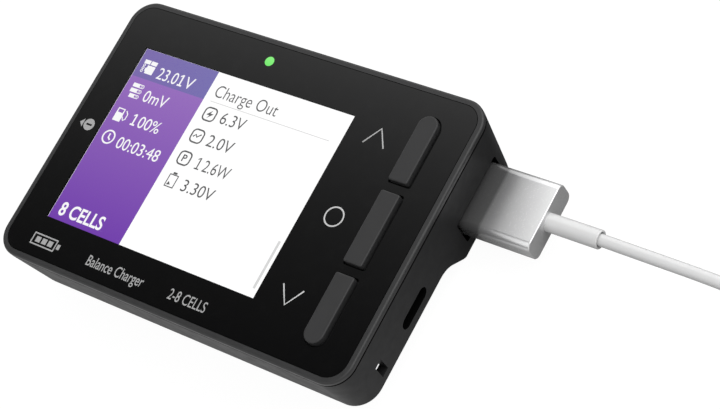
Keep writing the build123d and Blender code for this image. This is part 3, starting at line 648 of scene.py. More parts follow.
def spun(profile: Sequence[Point], axis_from: Vector, direction: Vector,
         steps: int = 48) -> bmesh.types.BMesh:
    """Turns a closed profile about an axis.

    Args:
        profile: Distance along the axis and radius of each point, in metres.
        axis_from: Where the axis starts.
        direction: Its unit direction.
        steps: Steps round a full turn.

    Returns:
        The new mesh.
    """
    shape = bmesh.new()
    side = direction.orthogonal().normalized()
    points = [shape.verts.new(axis_from + direction * along + side * radius) for along, radius in profile]
    loop = [shape.edges.new((a, b)) for a, b in zip(points, points[1:] + points[:1])]
    bmesh.ops.spin(shape, geom=points + loop, cent=axis_from, axis=direction, angle=math.tau, steps=steps,
                   use_merge=True, use_duplicate=False)
    bmesh.ops.remove_doubles(shape, verts=shape.verts, dist=FINE)
    bmesh.ops.recalc_face_normals(shape, faces=shape.faces)
    crease(shape, 35)
    return shape


def placed(shape: bmesh.types.BMesh, name: str) -> bpy.types.Object:
    """Turns a finished bmesh into an object in the scene and gives that object."""
    mesh = bpy.data.meshes.new(name)
    shape.to_mesh(mesh)
    shape.free()
    return link(name, mesh)


def shown(shape: bmesh.types.BMesh, name: str) -> bpy.types.Object:
    """Does the same with weighted normals."""
    piece = placed(shape, name)
    weigh_normals(piece)
    return piece


# ------------------------------------------------------------------ flat artwork
class Artwork:
    """Printed or lit marks on one level, gathered into one thin closed mesh.

    All places are in millimetres from an origin on the body.
    """

    def __init__(self, origin: Point, level: float, thickness: float = 0.01) -> None:
        """Starts empty artwork.

        Args:
            origin: Where its own zero lies, in millimetres.
            level: Height of its underside, in millimetres.
            thickness: Its thickness, in millimetres.
        """
        self.origin = origin
        self.level = level
        self.thickness = thickness
        self.shape = bmesh.new()

    def _adopt(self, mesh: bpy.types.Mesh, transform: Matrix) -> None:
        """Adds a mesh after transforming it in the artwork's own plane."""
        mesh.transform(Matrix.Translation((*self.origin, self.level)) @ transform)
        self.shape.from_mesh(mesh)
        bpy.data.meshes.remove(mesh)

    def _thicken(self, faces: list[bmesh.types.BMFace]) -> None:
        """Gives flat faces the artwork's thickness."""
        raised = bmesh.ops.extrude_face_region(self.shape, geom=faces, use_keep_orig=True)["geom"]
        tops = [v for v in raised if isinstance(v, bmesh.types.BMVert)]
        bmesh.ops.translate(self.shape, verts=tops, vec=(0, 0, self.thickness))

    def area(self, points: Sequence[Point]) -> "Artwork":
        """Adds a filled outline.

        Args:
            points: Its corners, in order.

        Returns:
            The artwork itself.
        """
        x, y = self.origin
        corners = [self.shape.verts.new((x + a, y + b, self.level)) for a, b in points]
        self._thicken([self.shape.faces.new(corners)])
        return self

    def bar(self, left: float, low: float, right: float, high: float) -> "Artwork":
        """Adds a filled rectangle between two corners and gives the artwork."""
        return self.area([(left, low), (right, low), (right, high), (left, high)])

    def disc(self, x: float, y: float, radius: float) -> "Artwork":
        """Adds a filled circle and gives the artwork."""
        place = Matrix.Translation((self.origin[0] + x, self.origin[1] + y, self.level))
        made = bmesh.ops.create_circle(self.shape, cap_ends=True, segments=32, radius=radius, matrix=place)
        self._thicken(list({f for v in made["verts"] for f in v.link_faces}))
        return self

    def stroke(self, points: Sequence[Point], width: float, closed: bool = False) -> "Artwork":
        """Adds a line of even width.

        Args:
            points: The points it goes through.
            width: Its width.
            closed: Whether it returns to its start.

        Returns:
            The artwork itself.
        """
        curve = bpy.data.curves.new("stroke", "CURVE")
        curve.dimensions = "3D"
        curve.bevel_depth = width / 2
        curve.bevel_resolution = 2
        curve.use_fill_caps = True
        spline = curve.splines.new("POLY")
        spline.points.add(len(points) - 1)
        for point, (a, b) in zip(spline.points, points):
            point.co = (a, b, 0, 1)
        spline.use_cyclic_u = closed
        helper = bpy.data.objects.new("stroke", curve)
        flat = Matrix.Diagonal((1, 1, self.thickness / width, 1))
        place = Matrix.Translation((0, 0, self.thickness / 2)) @ flat
        self._adopt(bpy.data.meshes.new_from_object(helper), place)
        bpy.data.objects.remove(helper)
        bpy.data.curves.remove(curve)
        return self

    def ring(self, x: float, y: float, radius: float, width: float) -> "Artwork":
        """Adds a circular line and gives the artwork."""
        turns = [math.tau * step / 40 for step in range(40)]
        return self.stroke([(x + radius * math.cos(t), y + radius * math.sin(t)) for t in turns], width, True)

    def round_box(self, x: float, y: float, half: float, corner: float, width: float) -> "Artwork":
        """Adds the outline of a square with round corners.

        Args:
            x: Its middle.
            y: Its middle.
            half: Half its side.
            corner: Corner radius.
            width: Line width.

        Returns:
            The artwork itself.
        """
        points = []
        for quarter in range(4):
            for step in range(6):
                turn = math.radians(90 * quarter + 18 * step)
                sign_x, sign_y = ((1, 1), (-1, 1), (-1, -1), (1, -1))[quarter]
                points.append((x + sign_x * (half - corner) + corner * math.cos(turn),
                               y + sign_y * (half - corner) + corner * math.sin(turn)))
        return self.stroke(points, width, True)

    def words(self, text: str, left: float, middle: float, cap: float, width: float,
              weight: float = 0.0) -> "Artwork":
        """Adds lettering.

        Args:
            text: What it says.
            left: Where it starts.
            middle: Half way up its capitals.
            cap: Height of its capitals.
            width: Its whole width.
            weight: How much its strokes are fattened, as a share of the letter size.

        Returns:
            The artwork itself.
        """
        font = bpy.data.curves.new("words", "FONT")
        font.body = text
        font.offset = weight
        font.extrude = 0.5
        font.resolution_u = 6
        helper = bpy.data.objects.new("words", font)
        mesh = bpy.data.meshes.new_from_object(helper)
        bpy.data.objects.remove(helper)
        xs = [v.co.x for v in mesh.vertices]
        across = width / (max(xs) - min(xs))
        up = cap / CAPITAL
        place = Matrix.Translation((left - min(xs) * across, middle - cap / 2, self.thickness / 2))
        self._adopt(mesh, place @ Matrix.Diagonal((across, up, self.thickness, 1)))
        bpy.data.curves.remove(font)
        return self

    def one(self, x: float, middle: float, cap: float, line: float) -> "Artwork":
        """Adds a figure one with a flag and a foot.

        Args:
            x: Its stem.
            middle: Half way up.
            cap: Its height.
            line: Its stroke width.

        Returns:
            The artwork itself.
        """
        low, high = middle - cap / 2, middle + cap / 2
        half = line / 2
        self.bar(x - half, low, x + half, high)
        self.bar(x - 0.22 * cap, low, x + 0.22 * cap, low + line)
        tip, drop = x - 0.24 * cap, high - 0.12 * cap
        return self.area([(x - half, high), (tip, drop), (tip, drop - line), (x - half, high - line)])

    def piece(self, name: str, finish: Finish, slot: str) -> bpy.types.Object:
        """Turns the artwork into one piece on the charger's body.

        Args:
            name: The piece's name.
            finish: Its finish.
            slot: The record's material slot; not used.

        Returns:
            The piece.
        """
        bmesh.ops.remove_doubles(self.shape, verts=self.shape.verts, dist=0.0008)
        bmesh.ops.recalc_face_normals(self.shape, faces=self.shape.faces)
        bmesh.ops.scale(self.shape, vec=(MM, MM, MM), verts=self.shape.verts)
        mesh = bpy.data.meshes.new(name)
        self.shape.to_mesh(mesh)
        self.shape.free()
        return install(link(name, mesh), "charger", finish)


# ------------------------------------------------------------------ sub-assemblies
@dataclass
class Case:
    """Front frame, stepped rear shell, its screws and its blank rating plate.

    Args:
        plate_line: Width of the plate's printed lines, in millimetres.
        band: Height of the frame above the parting line, in millimetres.
        groove: Depth of the parting groove along the shell, painted with shadow, in millimetres.
        around: Room round the sockets in their openings, whose walls are painted with shadow, in millimetres.
    """

    plate_line: float = 0.16
    band: float = 1.1
    groove: float = 0.21
    around: float = 0.8

    def build(self) -> None:
        """Makes every piece of the case."""
        refined("front_frame", "charger", FRAME, 35)
        shell = refined("rear_shell", "charger", CASE, 32)
        self.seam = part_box("front_frame")[1].z - self.band * MM
        self.mouths = [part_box(node) for node in ("data_socket_shell", "output_socket_shell")]
        # paints shadow on the parting groove and on the walls inside the socket openings
        repaint(shell, SHADOW, self._in_shadow)
        refined("case_screws", "charger", SCREW, 40)
        refined("rating_plate", "charger", LABEL, 40)
        self._plate_lines()

    def _in_shadow(self, centre: Vector, normal: Vector) -> bool:
        """Tells whether a face of the shell lies in the parting groove or in a narrow opening, where painted
        shadow goes.
        """
        if self.seam - self.groove * MM < centre.z < self.seam and 0.3 < normal.z < 0.95:
            return True
        for low, high in self.mouths:
            middle, half = (low + high) / 2, (high - low) / 2 + Vector((0, 1, 1)) * self.around * MM
            beside = abs(centre.y - middle.y) < half.y and abs(centre.z - middle.z) < half.z
            if centre.x > high.x - 3 * MM and beside and abs(normal.x) < 0.5:
                return True
        return False

    def _plate_lines(self) -> None:
        """Prints a border and blank ruled lines on the plate's outer face."""
        low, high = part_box("rating_plate")
        x0, x1, y0, y1 = (v / MM for v in (low.x, high.x, low.y, high.y))
        art = Artwork((0, 0), low.z / MM - 0.012, 0.012)
        inset = 0.9
        left, right, bottom, top = x0 + inset, x1 - inset, y0 + inset, y1 - inset
        art.stroke([(left, bottom), (right, bottom), (right, top), (left, top)], self.plate_line, True)
        for row in range(1, 4):
            y = y0 + (y1 - y0) * row / 4
            art.stroke([(x0 + 2.4, y), (x1 - 14, y)], self.plate_line)
        middle = (y0 + y1) / 2
        art.round_box(x1 - 7.5, middle, 3.4, 0.4, self.plate_line)
        art.round_box(x1 - 7.5, middle, 2.3, 0.3, self.plate_line)
        art.piece("rating_plate_lines", LABEL_INK, "plate_label")


@dataclass
class LensStack:
    """Lens, its black print, its printed marks, tape and the status light.

    Args:
        line: Stroke width of the key marks, in millimetres.
        key_mark_x: Where the key marks stand along X, in millimetres.
        key_mark_y: How far the outer key marks stand from the middle, in millimetres.
        lower_y: Middle of the lower row of lettering, in millimetres.
        window: Clear part of the lens, in millimetres.
        lamp: Place of the status light, in millimetres.
        lamp_radius: Its radius, in millimetres.
        polarity: Place of the polarity mark, in millimetres.
    """

    line: float = 0.3
    key_mark_x: float = 22.35
    key_mark_y: float = 17.5
    lower_y: float = -23.1
    window: Point = ACTIVE
    lamp: Point = (-6.05, 23.0)
    lamp_radius: float = 0.95
    polarity: Point = (-35.5, 0.45)

    def build(self) -> None:
        """Makes every piece of the lens stack."""
        self._panel()
        dress_nodes({
            "lens_mask": MASK, "lens_adhesive": FOAM, "light_pipe": GREEN_LIGHT, "status_led": GREEN_CHIP,
        })
        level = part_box("lens_panel")[1].z / MM + 0.002
        self._key_marks(level)
        self._lettering(level)
        lamp = Artwork(self.lamp, level).disc(0, 0, self.lamp_radius)
        lamp.piece("status_light_window", GREEN_LIGHT, SLOT_OF["light_pipe"])

    def _panel(self) -> None:
        """Makes the lens: gloss black all round, clear over the display."""
        low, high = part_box("display_cell")
        middle = (low + high) / 2
        reach = Vector((self.window[0] / 2 * MM, self.window[1] / 2 * MM, 1))
        shape = merged("lens_panel")
        for axis in (0, 1):
            for side in (-1, 1):
                across = Vector((1 - axis, axis, 0))
                place = middle + across * side * reach[axis]
                everything = [*shape.verts, *shape.edges, *shape.faces]
                bmesh.ops.bisect_plane(shape, geom=everything, dist=FINE, plane_co=place, plane_no=across)
        crease(shape, 35)
        lens = shown(shape, "lens_panel_finished")
        install(lens, "charger", LENS, ["lens_panel"])

        def printed(centre: Vector, normal: Vector) -> bool:
            """Tells whether a face lies outside the window or on the lens's edge."""
            offset = centre - middle
            return abs(offset.x) > reach.x or abs(offset.y) > reach.y or abs(normal.z) < 0.5

        repaint(lens, LENS_BORDER, printed)

    def _key_marks(self, level: float) -> None:
        """Prints the marks beside the keys and the polarity mark at the left."""
        x = self.key_mark_x
        art = Artwork((0, 0), level)
        for side in (1, -1):
            tip = side * self.key_mark_y
            feet = side * (self.key_mark_y - 3.4)
            art.stroke([(x - 2.2, feet), (x, tip), (x + 2.2, feet)], self.line)
        art.ring(x + 0.15, -0.15, 1.8, self.line)
        art.piece("lens_key_marks", PRINT_THIN, "lens_glass")
        mark = Artwork(self.polarity, level)
        mark.area([(-1.95, 0.0), (-1.1, -0.85), (-1.1, 0.85)])
        mark.disc(0.3, 0.0, 1.2)
        mark.piece("lens_polarity_mark", PRINT, "lens_glass")
        minus = Artwork(self.polarity, level + 0.02)
        minus.bar(-0.35, -0.17, 0.95, 0.17)
        minus.piece("lens_polarity_minus", EDGE_PAINT, "lens_glass")

    def _lettering(self, level: float) -> None:
        """Prints plain words along the lower edge, with a small battery outline."""
        y = self.lower_y
        art = Artwork((0, 0), level)
        left = -32.9
        low, high, right = y - 1.05, y + 1.05, left + 5.6
        art.stroke([(left, low), (right, low), (right, high), (left, high)], 0.38, True)
        art.bar(left + 6.0, y - 0.5, left + 6.7, y + 0.5)
        for cell in range(3):
            art.bar(left + 0.8 + 1.5 * cell, y - 0.55, left + 1.9 + 1.5 * cell, y + 0.55)
        art.words("Balance Charger", -19.2, y, 2.0, 13.4, 0.004)
        art.words("2-8 CELLS", 0.2, y, 2.0, 8.4, 0.002)
        art.piece("lens_lettering", PRINT, "lens_glass")


@dataclass
class Screen:
    """Display with its backlight, tray and flex, and what it shows.

    Args:
        panel_width: Width of the coloured panel at the left, in millimetres.
        header_height: Height of the band above it, in millimetres.
        glyph: Height of the digits, in millimetres.
        length: Lit length, in millimetres.
        width: Lit width, in millimetres.
    """

    panel_width: float = 17.6
    header_height: float = 5.86
    glyph: float = 2.35
    length: float = ACTIVE[0]
    width: float = ACTIVE[1]

    def build(self) -> None:
        """Makes every piece of the display."""
        low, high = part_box("display_cell")
        middle = (low + high) / 2
        self.origin = (middle.x / MM - self.length / 2, middle.y / MM)
        self.level = high.z / MM
        self.bottom = -self.width / 2
        self.top = self.width / 2
        white = Lit("screen_white", (1.0, 1.0, 1.0), (1.0, 1.0, 1.0), 0, -0.03, 0.02, 1.12, 0.153 * MM)
        dress_nodes({"display_cell": white, "display_backlight": BACKLIGHT, "display_tray": TRAY,
                     "display_flex": FLEX, "flex_connector": CONNECTOR})
        self._panels()
        self._left_column()
        self._right_column()

    def _panels(self) -> None:
        """Lays the coloured panel and the band over it."""
        split = self.top - self.header_height
        y = self.origin[1]
        shade = Lit("screen_violet", (0.16, 0.045, 0.40), (0.275, 0.125, 0.475), 1,
                    (y + self.bottom) * MM, (y + split) * MM, 1.1)
        Artwork(self.origin, self.level + 0.004).bar(0, self.bottom, self.panel_width, split).piece(
            "screen_side_panel", shade, "display_glass")
        band = Lit("screen_violet_band", (0.165, 0.115, 0.38), (0.155, 0.13, 0.40), 0,
                   self.origin[0] * MM, (self.origin[0] + self.panel_width) * MM, 1.1)
        Artwork(self.origin, self.level + 0.004).bar(0, split, self.panel_width, self.top).piece(
            "screen_header_band", band, "display_glass")

    def _left_column(self) -> None:
        """Shows the pack's readings and their icons in white."""
        ink = Lit("screen_white_ink", (0.95, 0.95, 0.96), None, 1, -0.02, 0.02, 1.08)
        art = Artwork(self.origin, self.level + 0.02)
        readings = (("23.0", 5.3, 14.5, 4.75), ("V", 11.95, 14.5, 2.0), ("0mV", 5.15, 9.5, 5.6),
                    ("00%", 7.2, 4.45, 5.1), ("00:03:48", 5.25, -0.55, 10.2))
        for text, left, middle, width in readings:
            art.words(text, left, middle, self.glyph, width, 0.0)
        art.one(11.0, 14.5, self.glyph, 0.32)
        art.one(6.1, 4.45, self.glyph, 0.32)
        self._pack_icon(art, 2.6, 14.95)
        for row in range(3):
            low = 8.3 + 1.1 * row
            art.bar(1.5 + 0.35 * (row == 0), low, 3.1, low + 0.8)
            bottom, top = low + 0.09, low + 0.71
            art.stroke([(3.1, bottom), (3.95, bottom), (4.1, low + 0.4), (3.95, top), (3.1, top)], 0.17)
            art.disc(3.62, low + 0.4, 0.13)
        self._pump_icon(art, 2.55, 4.45)
        art.ring(2.8, -0.25, 1.3, 0.32)
        art.stroke([(2.8, 0.5), (2.8, -0.35), (3.35, -0.75)], 0.34)
        art.words("8 CELLS", 1.6, -15.9, 2.6, 10.6, 0.02)
        art.piece("screen_white_marks", ink, "display_glass")

    def _pack_icon(self, art: Artwork, x: float, y: float) -> None:
        """Draws a battery pack with its lead."""
        art.bar(x - 0.35, y - 1.35, x + 1.5, y + 0.35)
        art.bar(x - 1.5, y + 0.55, x - 0.1, y + 1.35)
        art.bar(x + 0.1, y + 0.55, x + 1.5, y + 1.35)
        art.bar(x - 0.6, y - 0.9, x - 0.35, y - 0.2)
        for step in range(3):
            art.ring(x - 1.15, y + 0.2 - 0.62 * step, 0.22, 0.14)

    def _pump_icon(self, art: Artwork, x: float, y: float) -> None:
        """Draws a filling gauge."""
        art.bar(x - 1.2, y - 1.35, x + 0.55, y + 0.45)
        art.stroke([(x - 1.05, y + 0.4), (x - 1.05, y + 1.25), (x + 0.4, y + 1.25), (x + 0.4, y + 0.4)], 0.3)
        art.stroke([(x + 0.6, y - 0.2), (x + 1.1, y - 0.9), (x + 1.5, y - 0.5), (x + 1.5, y + 0.5),
                    (x + 0.95, y + 1.1)], 0.24)

    def _right_column(self) -> None:
        """Shows the output's readings, icons, rule and scroll bar."""
        ink = Lit("screen_grey_ink", (0.115, 0.115, 0.118), None, 1, -0.02, 0.02, 1.0)
        pale = Lit("screen_pale_line", (0.70, 0.70, 0.70), None, 1, -0.02, 0.02, 1.05)
        art = Artwork(self.origin, self.level + 0.012)
        art.words("Charge Out", 19.2, 14.85, 2.45, 14.4, -0.004)
        for text, left, middle, width in (("6.3V", 23.3, 10.3, 5.5), ("2.0V", 23.2, 5.5, 5.8),
                                          ("2.6W", 25.3, 0.75, 5.9), ("3.30V", 23.3, -3.9, 7.2)):
            art.words(text, left, middle, self.glyph, width, -0.002)
        art.one(24.1, 0.75, self.glyph, 0.26)
        x = 20.65
        for y in (10.15, 5.5, 0.83):
            art.round_box(x, y, 1.3, 0.8, 0.32)
        art.area([(x + 0.35, 11.05), (x - 0.75, 9.95), (x + 0.0, 9.95), (x - 0.35, 9.25), (x + 0.8, 10.35),
                  (x + 0.05, 10.35)])
        art.stroke([(x - 0.85, 5.2), (x - 0.35, 5.75), (x + 0.0, 5.3), (x + 0.75, 6.0)], 0.3)
        art.words("P", x - 0.45, 0.85, 1.35, 0.95, 0.02)
        art.stroke([(x - 0.95, -5.15), (x + 0.95, -5.15), (x + 0.95, -2.75), (x - 0.95, -2.75)], 0.3, True)
        art.bar(x - 0.45, -2.6, x + 0.45, -2.2)
        art.area([(x - 0.7, -4.9), (x + 0.1, -4.7), (x - 0.45, -4.1)])
        art.piece("screen_grey_marks", ink, "display_glass")
        lines = Artwork(self.origin, self.level + 0.012)
        lines.bar(19.2, 12.53, 46.4, 12.68)
        lines.bar(47.45, -16.6, 47.95, -7.3)
        lines.piece("screen_pale_lines", pale, "display_glass")


class Key(Enum):
    """The three keys, top to bottom."""

    UP = "up"
    ENTER = "enter"
    DOWN = "down"


@dataclass
class KeyColumn:
    """Keycaps with the switches under them.

    Args:
        crease_angle: Sharpest angle shaded smooth on a keycap, in degrees.
    """

    crease_angle: float = 40.0

    def build(self) -> None:
        """Makes each key and dresses its switch."""
        for key in Key:
            refined("key_" + key.value, "button_" + key.value, KEYCAP, self.crease_angle)
            dress_nodes({"switch_base_" + key.value: DARK, "switch_plunger_" + key.value: CREAM})


@dataclass
class Sockets:
    """Output, data, balance and main battery sockets.

    Args:
        soft_edge: Rounding on the nylon housings' edges, in metres.
    """

    soft_edge: float = 0.12 * MM

    def build(self) -> None:
        """Makes the housings and dresses what is in them."""
        refined("balance_socket", "charger", NYLON, 30, self.soft_edge)
        refined("battery_socket", "charger", YELLOW, 30, self.soft_edge)
        refined("battery_pins", "charger", GOLD, 35)
        refined("output_socket_shell", "charger", STEEL, 35)
        refined("data_socket_shell", "charger", BLACKENED, 35)
        dress_nodes({"balance_pins": GOLD, "output_socket_tongue": DARK, "output_socket_spacer": DARK,
                     "output_socket_contacts": GOLD, "data_socket_tongue": DARK})


@dataclass
class Electronics:
    """Circuit board and the parts on it.

    Args:
        finishes: The finish of each node.
    """

    finishes: dict[str, Finish] = field(default_factory=lambda: {
        "main_board": Laminate("board_green_laminate"), "controller_chip": EPOXY,
        "balance_resistors": CERAMIC, "balance_transistors": EPOXY, "power_transistors": EPOXY,
        "thermal_pad": THERMAL, "heat_block": HEAT, "power_inductor": FERRITE, "input_capacitors": CAN,
        "buzzer": DARK,
    })

    def build(self) -> None:
        """Dresses the board and its parts."""
        dress_nodes(self.finishes)


@dataclass
class OutputLead:
    """Plug, strain relief and the white cable, with its coil, tie and far plug.

    Args:
        diameter: Cable diameter, in metres.
        length: Cable length, in metres; not used.
        lead: Route from the strain relief to the coil, in millimetres.
        tail: Route from the coil to the far plug, in millimetres.
        coil_centre: Middle of the coil, in millimetres.
        coil_radius: Middle of its turns, in millimetres.
        columns: Turns side by side.
        layers: Turns on top of each other.
        steps: Points in each turn.
        body: The body that all of it moves with.
    """

    diameter: float = 2.2 * MM
    length: float = 1.02
    lead: tuple = ((72.0, 15.3, 5.6), (82.5, 15.3, 5.3), (92.0, 15.25, 4.0), (101.0, 15.3, 1.7),
                   (109.5, 15.3, 1.12))
    tail: tuple = ((112.0, -15.5, 7.7), (106.5, -15.7, 7.3), (99.8, -17.0, 4.6), (93.5, -19.8, 2.55))
    coil_centre: Point = (114.5, -0.1)
    coil_radius: float = 13.2
    columns: int = 3
    layers: int = 4
    steps: int = 16
    body: str = "output_plug"

    def build(self) -> None:
        """Makes every piece of the lead."""
        sleeve = self._sleeve()
        relief = self._relief()
        far = self._far_end()
        tie = refined("cable_tie", self.body, STRAP, 40)
        dress_nodes({"plug_insulator": WHITE, "plug_contacts": GOLD})
        tongue = refined("plug_tongue", self.body, STEEL, 35)
        self._cable()

    def _sleeve(self) -> bpy.types.Object:
        """Makes the metal sleeve."""
        low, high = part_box("plug_sleeve")
        size = high - low
        shape = rounded_bar(size, 1.4 * MM, 0.22 * MM)
        bmesh.ops.translate(shape, verts=shape.verts, vec=(low + high) / 2)
        return install(shown(shape, "plug_sleeve_shell"), self.body, ALUMINIUM,
                       ["plug_sleeve"])

    def _relief(self) -> bpy.types.Object:
        """Makes the moulded collar that the cable leaves through, open at its mouth."""
        low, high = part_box("strain_relief")
        radius = (high.z - low.z) / 2
        long = high.x - low.x
        lip = 0.16 * MM
        bore = self.diameter / 2 + lip
        hole = 0.3 * MM
        deep = long - 1.0 * MM
        profile = [
            (0, hole), (0, radius - 0.02 * MM), (long - lip, radius), (long - 0.4 * lip, radius - 0.3 * lip),
            (long, radius - lip), (long, bore + lip), (long - lip, bore), (deep, bore - 0.1 * MM), (deep, hole),
        ]
        start = Vector((low.x, (low.y + high.y) / 2, (low.z + high.z) / 2))
        shape = spun(profile, start, Vector((1, 0, 0)))
        return install(shown(shape, "strain_relief_collar"), self.body, JACKET,
                       ["strain_relief"])

    def _far_end(self) -> list[bpy.types.Object]:
        """Makes the far plug and its relief and gives both with the tongue."""
        return [
            refined("far_plug_body", self.body, JACKET, 40, 0.25 * MM),
            refined("far_relief", self.body, JACKET, 40),
            refined("far_plug_tongue", self.body, STEEL, 40),
        ]

    def _coil_points(self) -> list[Vector]:
        """Works out the turns, wound layer on layer, clockwise from above, and gives their points."""
        thick = self.diameter / MM
        offsets = [((self.columns - 1) / 2 - column) * thick for column in range(self.columns)]
        cells = []
        for layer in range(self.layers):
            for offset in (offsets if layer % 2 == 0 else offsets[::-1]):
                cells.append((self.coil_radius + offset, self.lead[-1][2] + layer * thick))
        cells.append(cells[-1])
        wide = 1 / (0.75 + 0.25 * math.cos(math.tau / self.steps))
        points = []
        for step in range((len(cells) - 1) * self.steps - self.steps // 2 + 1):
            turn, part = divmod(step, self.steps)
            share = min(1.0, max(0.0, (part / self.steps - 0.6) / 0.4))
            share = share * share * (3 - 2 * share)
            radius, height = (a + (b - a) * share for a, b in zip(cells[turn], cells[turn + 1]))
            angle = math.pi / 2 - math.tau * step / self.steps
            points.append(Vector((self.coil_centre[0] + radius * wide * math.cos(angle),
                                  self.coil_centre[1] + radius * wide * math.sin(angle), height)))
        return points

    def _cable(self) -> None:
        """Lays the cable as one smooth line.
        """
        low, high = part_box("strain_relief")
        start = Vector((high.x / MM - 1.0, (low.y + high.y) / 2 / MM, (low.z + high.z) / 2 / MM))
        points = [start, *map(Vector, self.lead), *self._coil_points(), *map(Vector, self.tail)]
        curve = bpy.data.curves.new("output_cable", "CURVE")
        curve.dimensions = "3D"
        curve.bevel_depth = self.diameter / 2
        curve.bevel_resolution = 6
        curve.resolution_u = 6
        curve.use_fill_caps = True
        spline = curve.splines.new("NURBS")
        spline.points.add(len(points) - 1)
        for target, point in zip(spline.points, points):
            target.co = (*(point * MM), 1)
        spline.order_u = 3
        spline.use_endpoint_u = True
        cable = bpy.data.objects.new("output_cable", curve)
        bpy.context.scene.collection.objects.link(cable)
        install(cable, self.body, JACKET, ["cable_lead", "cable_coil", "cable_tail"])


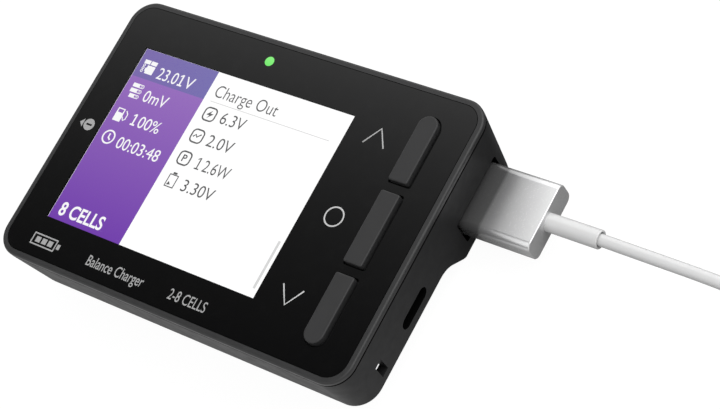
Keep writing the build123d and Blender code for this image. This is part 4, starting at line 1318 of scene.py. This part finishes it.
# ------------------------------------------------------------------ studio
@dataclass
class Studio:
    """Camera, pale floor and soft light round the object.

    Args:
        eye: Where the camera stands, in metres.
        turn: Its rotation, in degrees.
        lens: Its focal length, in millimetres.
        flag_axis: The way the ceiling's dark flag is crossed.
        flag_fade: How steeply the light rises from the flag.
        flag_middle: Light at the flag's zero.
        dome: Light of the open dome.
        white: Brightness of floor and dome where they are looked at.
        floor_glow: Light that the floor gives back of its own.
        front: Light of the part of the dome beyond the flag.
        apron: Light that the floor gives back in front of the object.
        apron_reach: Where that light is full and where it has faded, along Y, in metres.
        front_reach: Where the front light is full and where it has faded, along the flag's axis.
        floor_grey: Linear colour of the floor.
        floor_drop: How far the floor lies under the object, in metres.
        sun_power: Strength of the soft light.
        sun_width: Its spread, in degrees.
        sun_turn: Its rotation, in degrees.
    """

    eye: tuple[float, float, float] = (0.21291, -0.08157, 0.29790)
    turn: tuple[float, float, float] = (28.997, 22.847, 30.544)
    lens: float = 102.938
    flag_axis: tuple[float, float, float] = (0.006, 0.958, -0.287)
    flag_fade: float = 16.3
    flag_middle: float = 0.28
    dome: float = 1.35
    white: float = 0.95
    floor_glow: float = 0.06
    front: float = 0.85
    apron: float = 0.72
    apron_reach: Point = (-0.04, 0.014)
    front_reach: Point = (-0.5, -0.22)
    floor_grey: float = 0.08
    floor_drop: float = 0.02 * MM
    sun_power: float = 1.65
    sun_width: float = 60.0
    sun_turn: tuple[float, float, float] = (-18.0, 22.0, 0.0)

    def build(self) -> None:
        """Sets up the studio."""
        self._camera()
        self._dome()
        self._floor()
        self._sun()
        bpy.context.scene.view_settings.view_transform = "Standard"

    def _camera(self) -> None:
        """Stands the camera."""
        data = bpy.data.cameras.new("camera")
        data.lens = self.lens
        data.sensor_width = 36.0
        data.clip_start = 0.01
        data.clip_end = 20.0
        camera = bpy.data.objects.new("camera", data)
        camera.location = self.eye
        camera.rotation_euler = [math.radians(angle) for angle in self.turn]
        bpy.context.scene.collection.objects.link(camera)
        bpy.context.scene.camera = camera

    def _dome(self) -> None:
        """Lights the scene from a pale dome crossed by one soft dark flag."""
        world = bpy.data.worlds.new("dome")
        world.use_nodes = True
        graph = Graph(world.node_tree)
        direction = graph.add("ShaderNodeTexCoord").outputs["Generated"]
        across = graph.add("ShaderNodeVectorMath", {0: direction, 1: self.flag_axis}, operation="DOT_PRODUCT")
        value = across.outputs["Value"]
        steep = graph.add("ShaderNodeMath", {0: value, 1: self.flag_fade}, operation="MULTIPLY")
        rise = graph.add("ShaderNodeMath", {0: steep.outputs[0]}, operation="EXPONENT")
        near = graph.add("ShaderNodeMath", {0: rise.outputs[0], 1: self.flag_middle}, operation="MULTIPLY")
        away = graph.add("ShaderNodeMapRange", {
            "Value": value, "From Min": self.front_reach[0], "From Max": self.front_reach[1],
            "To Min": self.front, "To Max": 0.0,
        }, interpolation_type="SMOOTHSTEP")
        capped = graph.add("ShaderNodeMath", {0: near.outputs[0], 1: self.dome}, operation="MINIMUM")
        ahead = away.outputs["Result"]
        most = graph.add("ShaderNodeMath", {0: capped.outputs[0], 1: ahead}, operation="MAXIMUM")
        strength = self._plain_where_seen(graph, most.outputs[0])
        background = graph.add("ShaderNodeBackground", {"Strength": strength})
        background.inputs["Color"].default_value = (1, 1, 1, 1)
        output = graph.add("ShaderNodeOutputWorld")
        graph.tree.links.new(background.outputs["Background"], output.inputs["Surface"])
        bpy.context.scene.world = world

    def _plain_where_seen(self, graph: Graph, otherwise: bpy.types.NodeSocket) -> bpy.types.NodeSocket:
        """Keeps the surroundings plain white where they are looked at directly.

        Args:
            graph: The graph to add to.
            otherwise: Their strength as a light.

        Returns:
            The strength to use.
        """
        seen = graph.add("ShaderNodeLightPath").outputs["Is Camera Ray"]
        choice = graph.add("ShaderNodeMix", {"Factor": seen}, data_type="FLOAT")
        choice.inputs["B"].default_value = self.white
        graph.tree.links.new(otherwise, choice.inputs["A"])
        return choice.outputs["Result"]

    def _floor(self) -> None:
        """Lays a pale floor that glows a little, so that shadows on it stay faint."""
        shape = bmesh.new()
        bmesh.ops.create_grid(shape, x_segments=8, y_segments=8, size=3.0)
        floor = placed(shape, "floor")
        floor.location.z = -self.floor_drop
        material, graph = new_graph("floor_pale")
        forward = graph.add("ShaderNodeSeparateXYZ", {0: graph.place()}).outputs["Y"]
        glow = graph.spread(forward, self.apron, self.floor_glow, *self.apron_reach)
        graph.surface({
            "Base Color": (self.floor_grey, self.floor_grey, self.floor_grey, 1),
            "Roughness": graph.spread(graph.noise(4 * MM), 0.85, 0.95),
            "Specular IOR Level": 0.0, "Emission Color": (1, 1, 1, 1),
            "Emission Strength": self._plain_where_seen(graph, glow),
        })
        floor.data.materials.append(material)

    def _sun(self) -> None:
        """Adds one broad soft light from above."""
        data = bpy.data.lights.new("softbox", "SUN")
        data.energy = self.sun_power
        data.angle = math.radians(self.sun_width)
        sun = bpy.data.objects.new("softbox", data)
        sun.rotation_euler = [math.radians(angle) for angle in self.sun_turn]
        bpy.context.scene.collection.objects.link(sun)


def main() -> None:
    """Builds the studio and every sub-assembly, in order."""
    logging.basicConfig(level=logging.INFO, format="%(name)s: %(message)s")
    makers: list[Callable[[], object]] = [
        Studio, OutputLead, Case, LensStack, Screen, KeyColumn, Sockets, Electronics,
    ]
    for maker in makers:
        assembly = maker()
        assembly.build()
        LOG.info("%s is done", type(assembly).__name__)


if __name__ == "__main__":
    main()
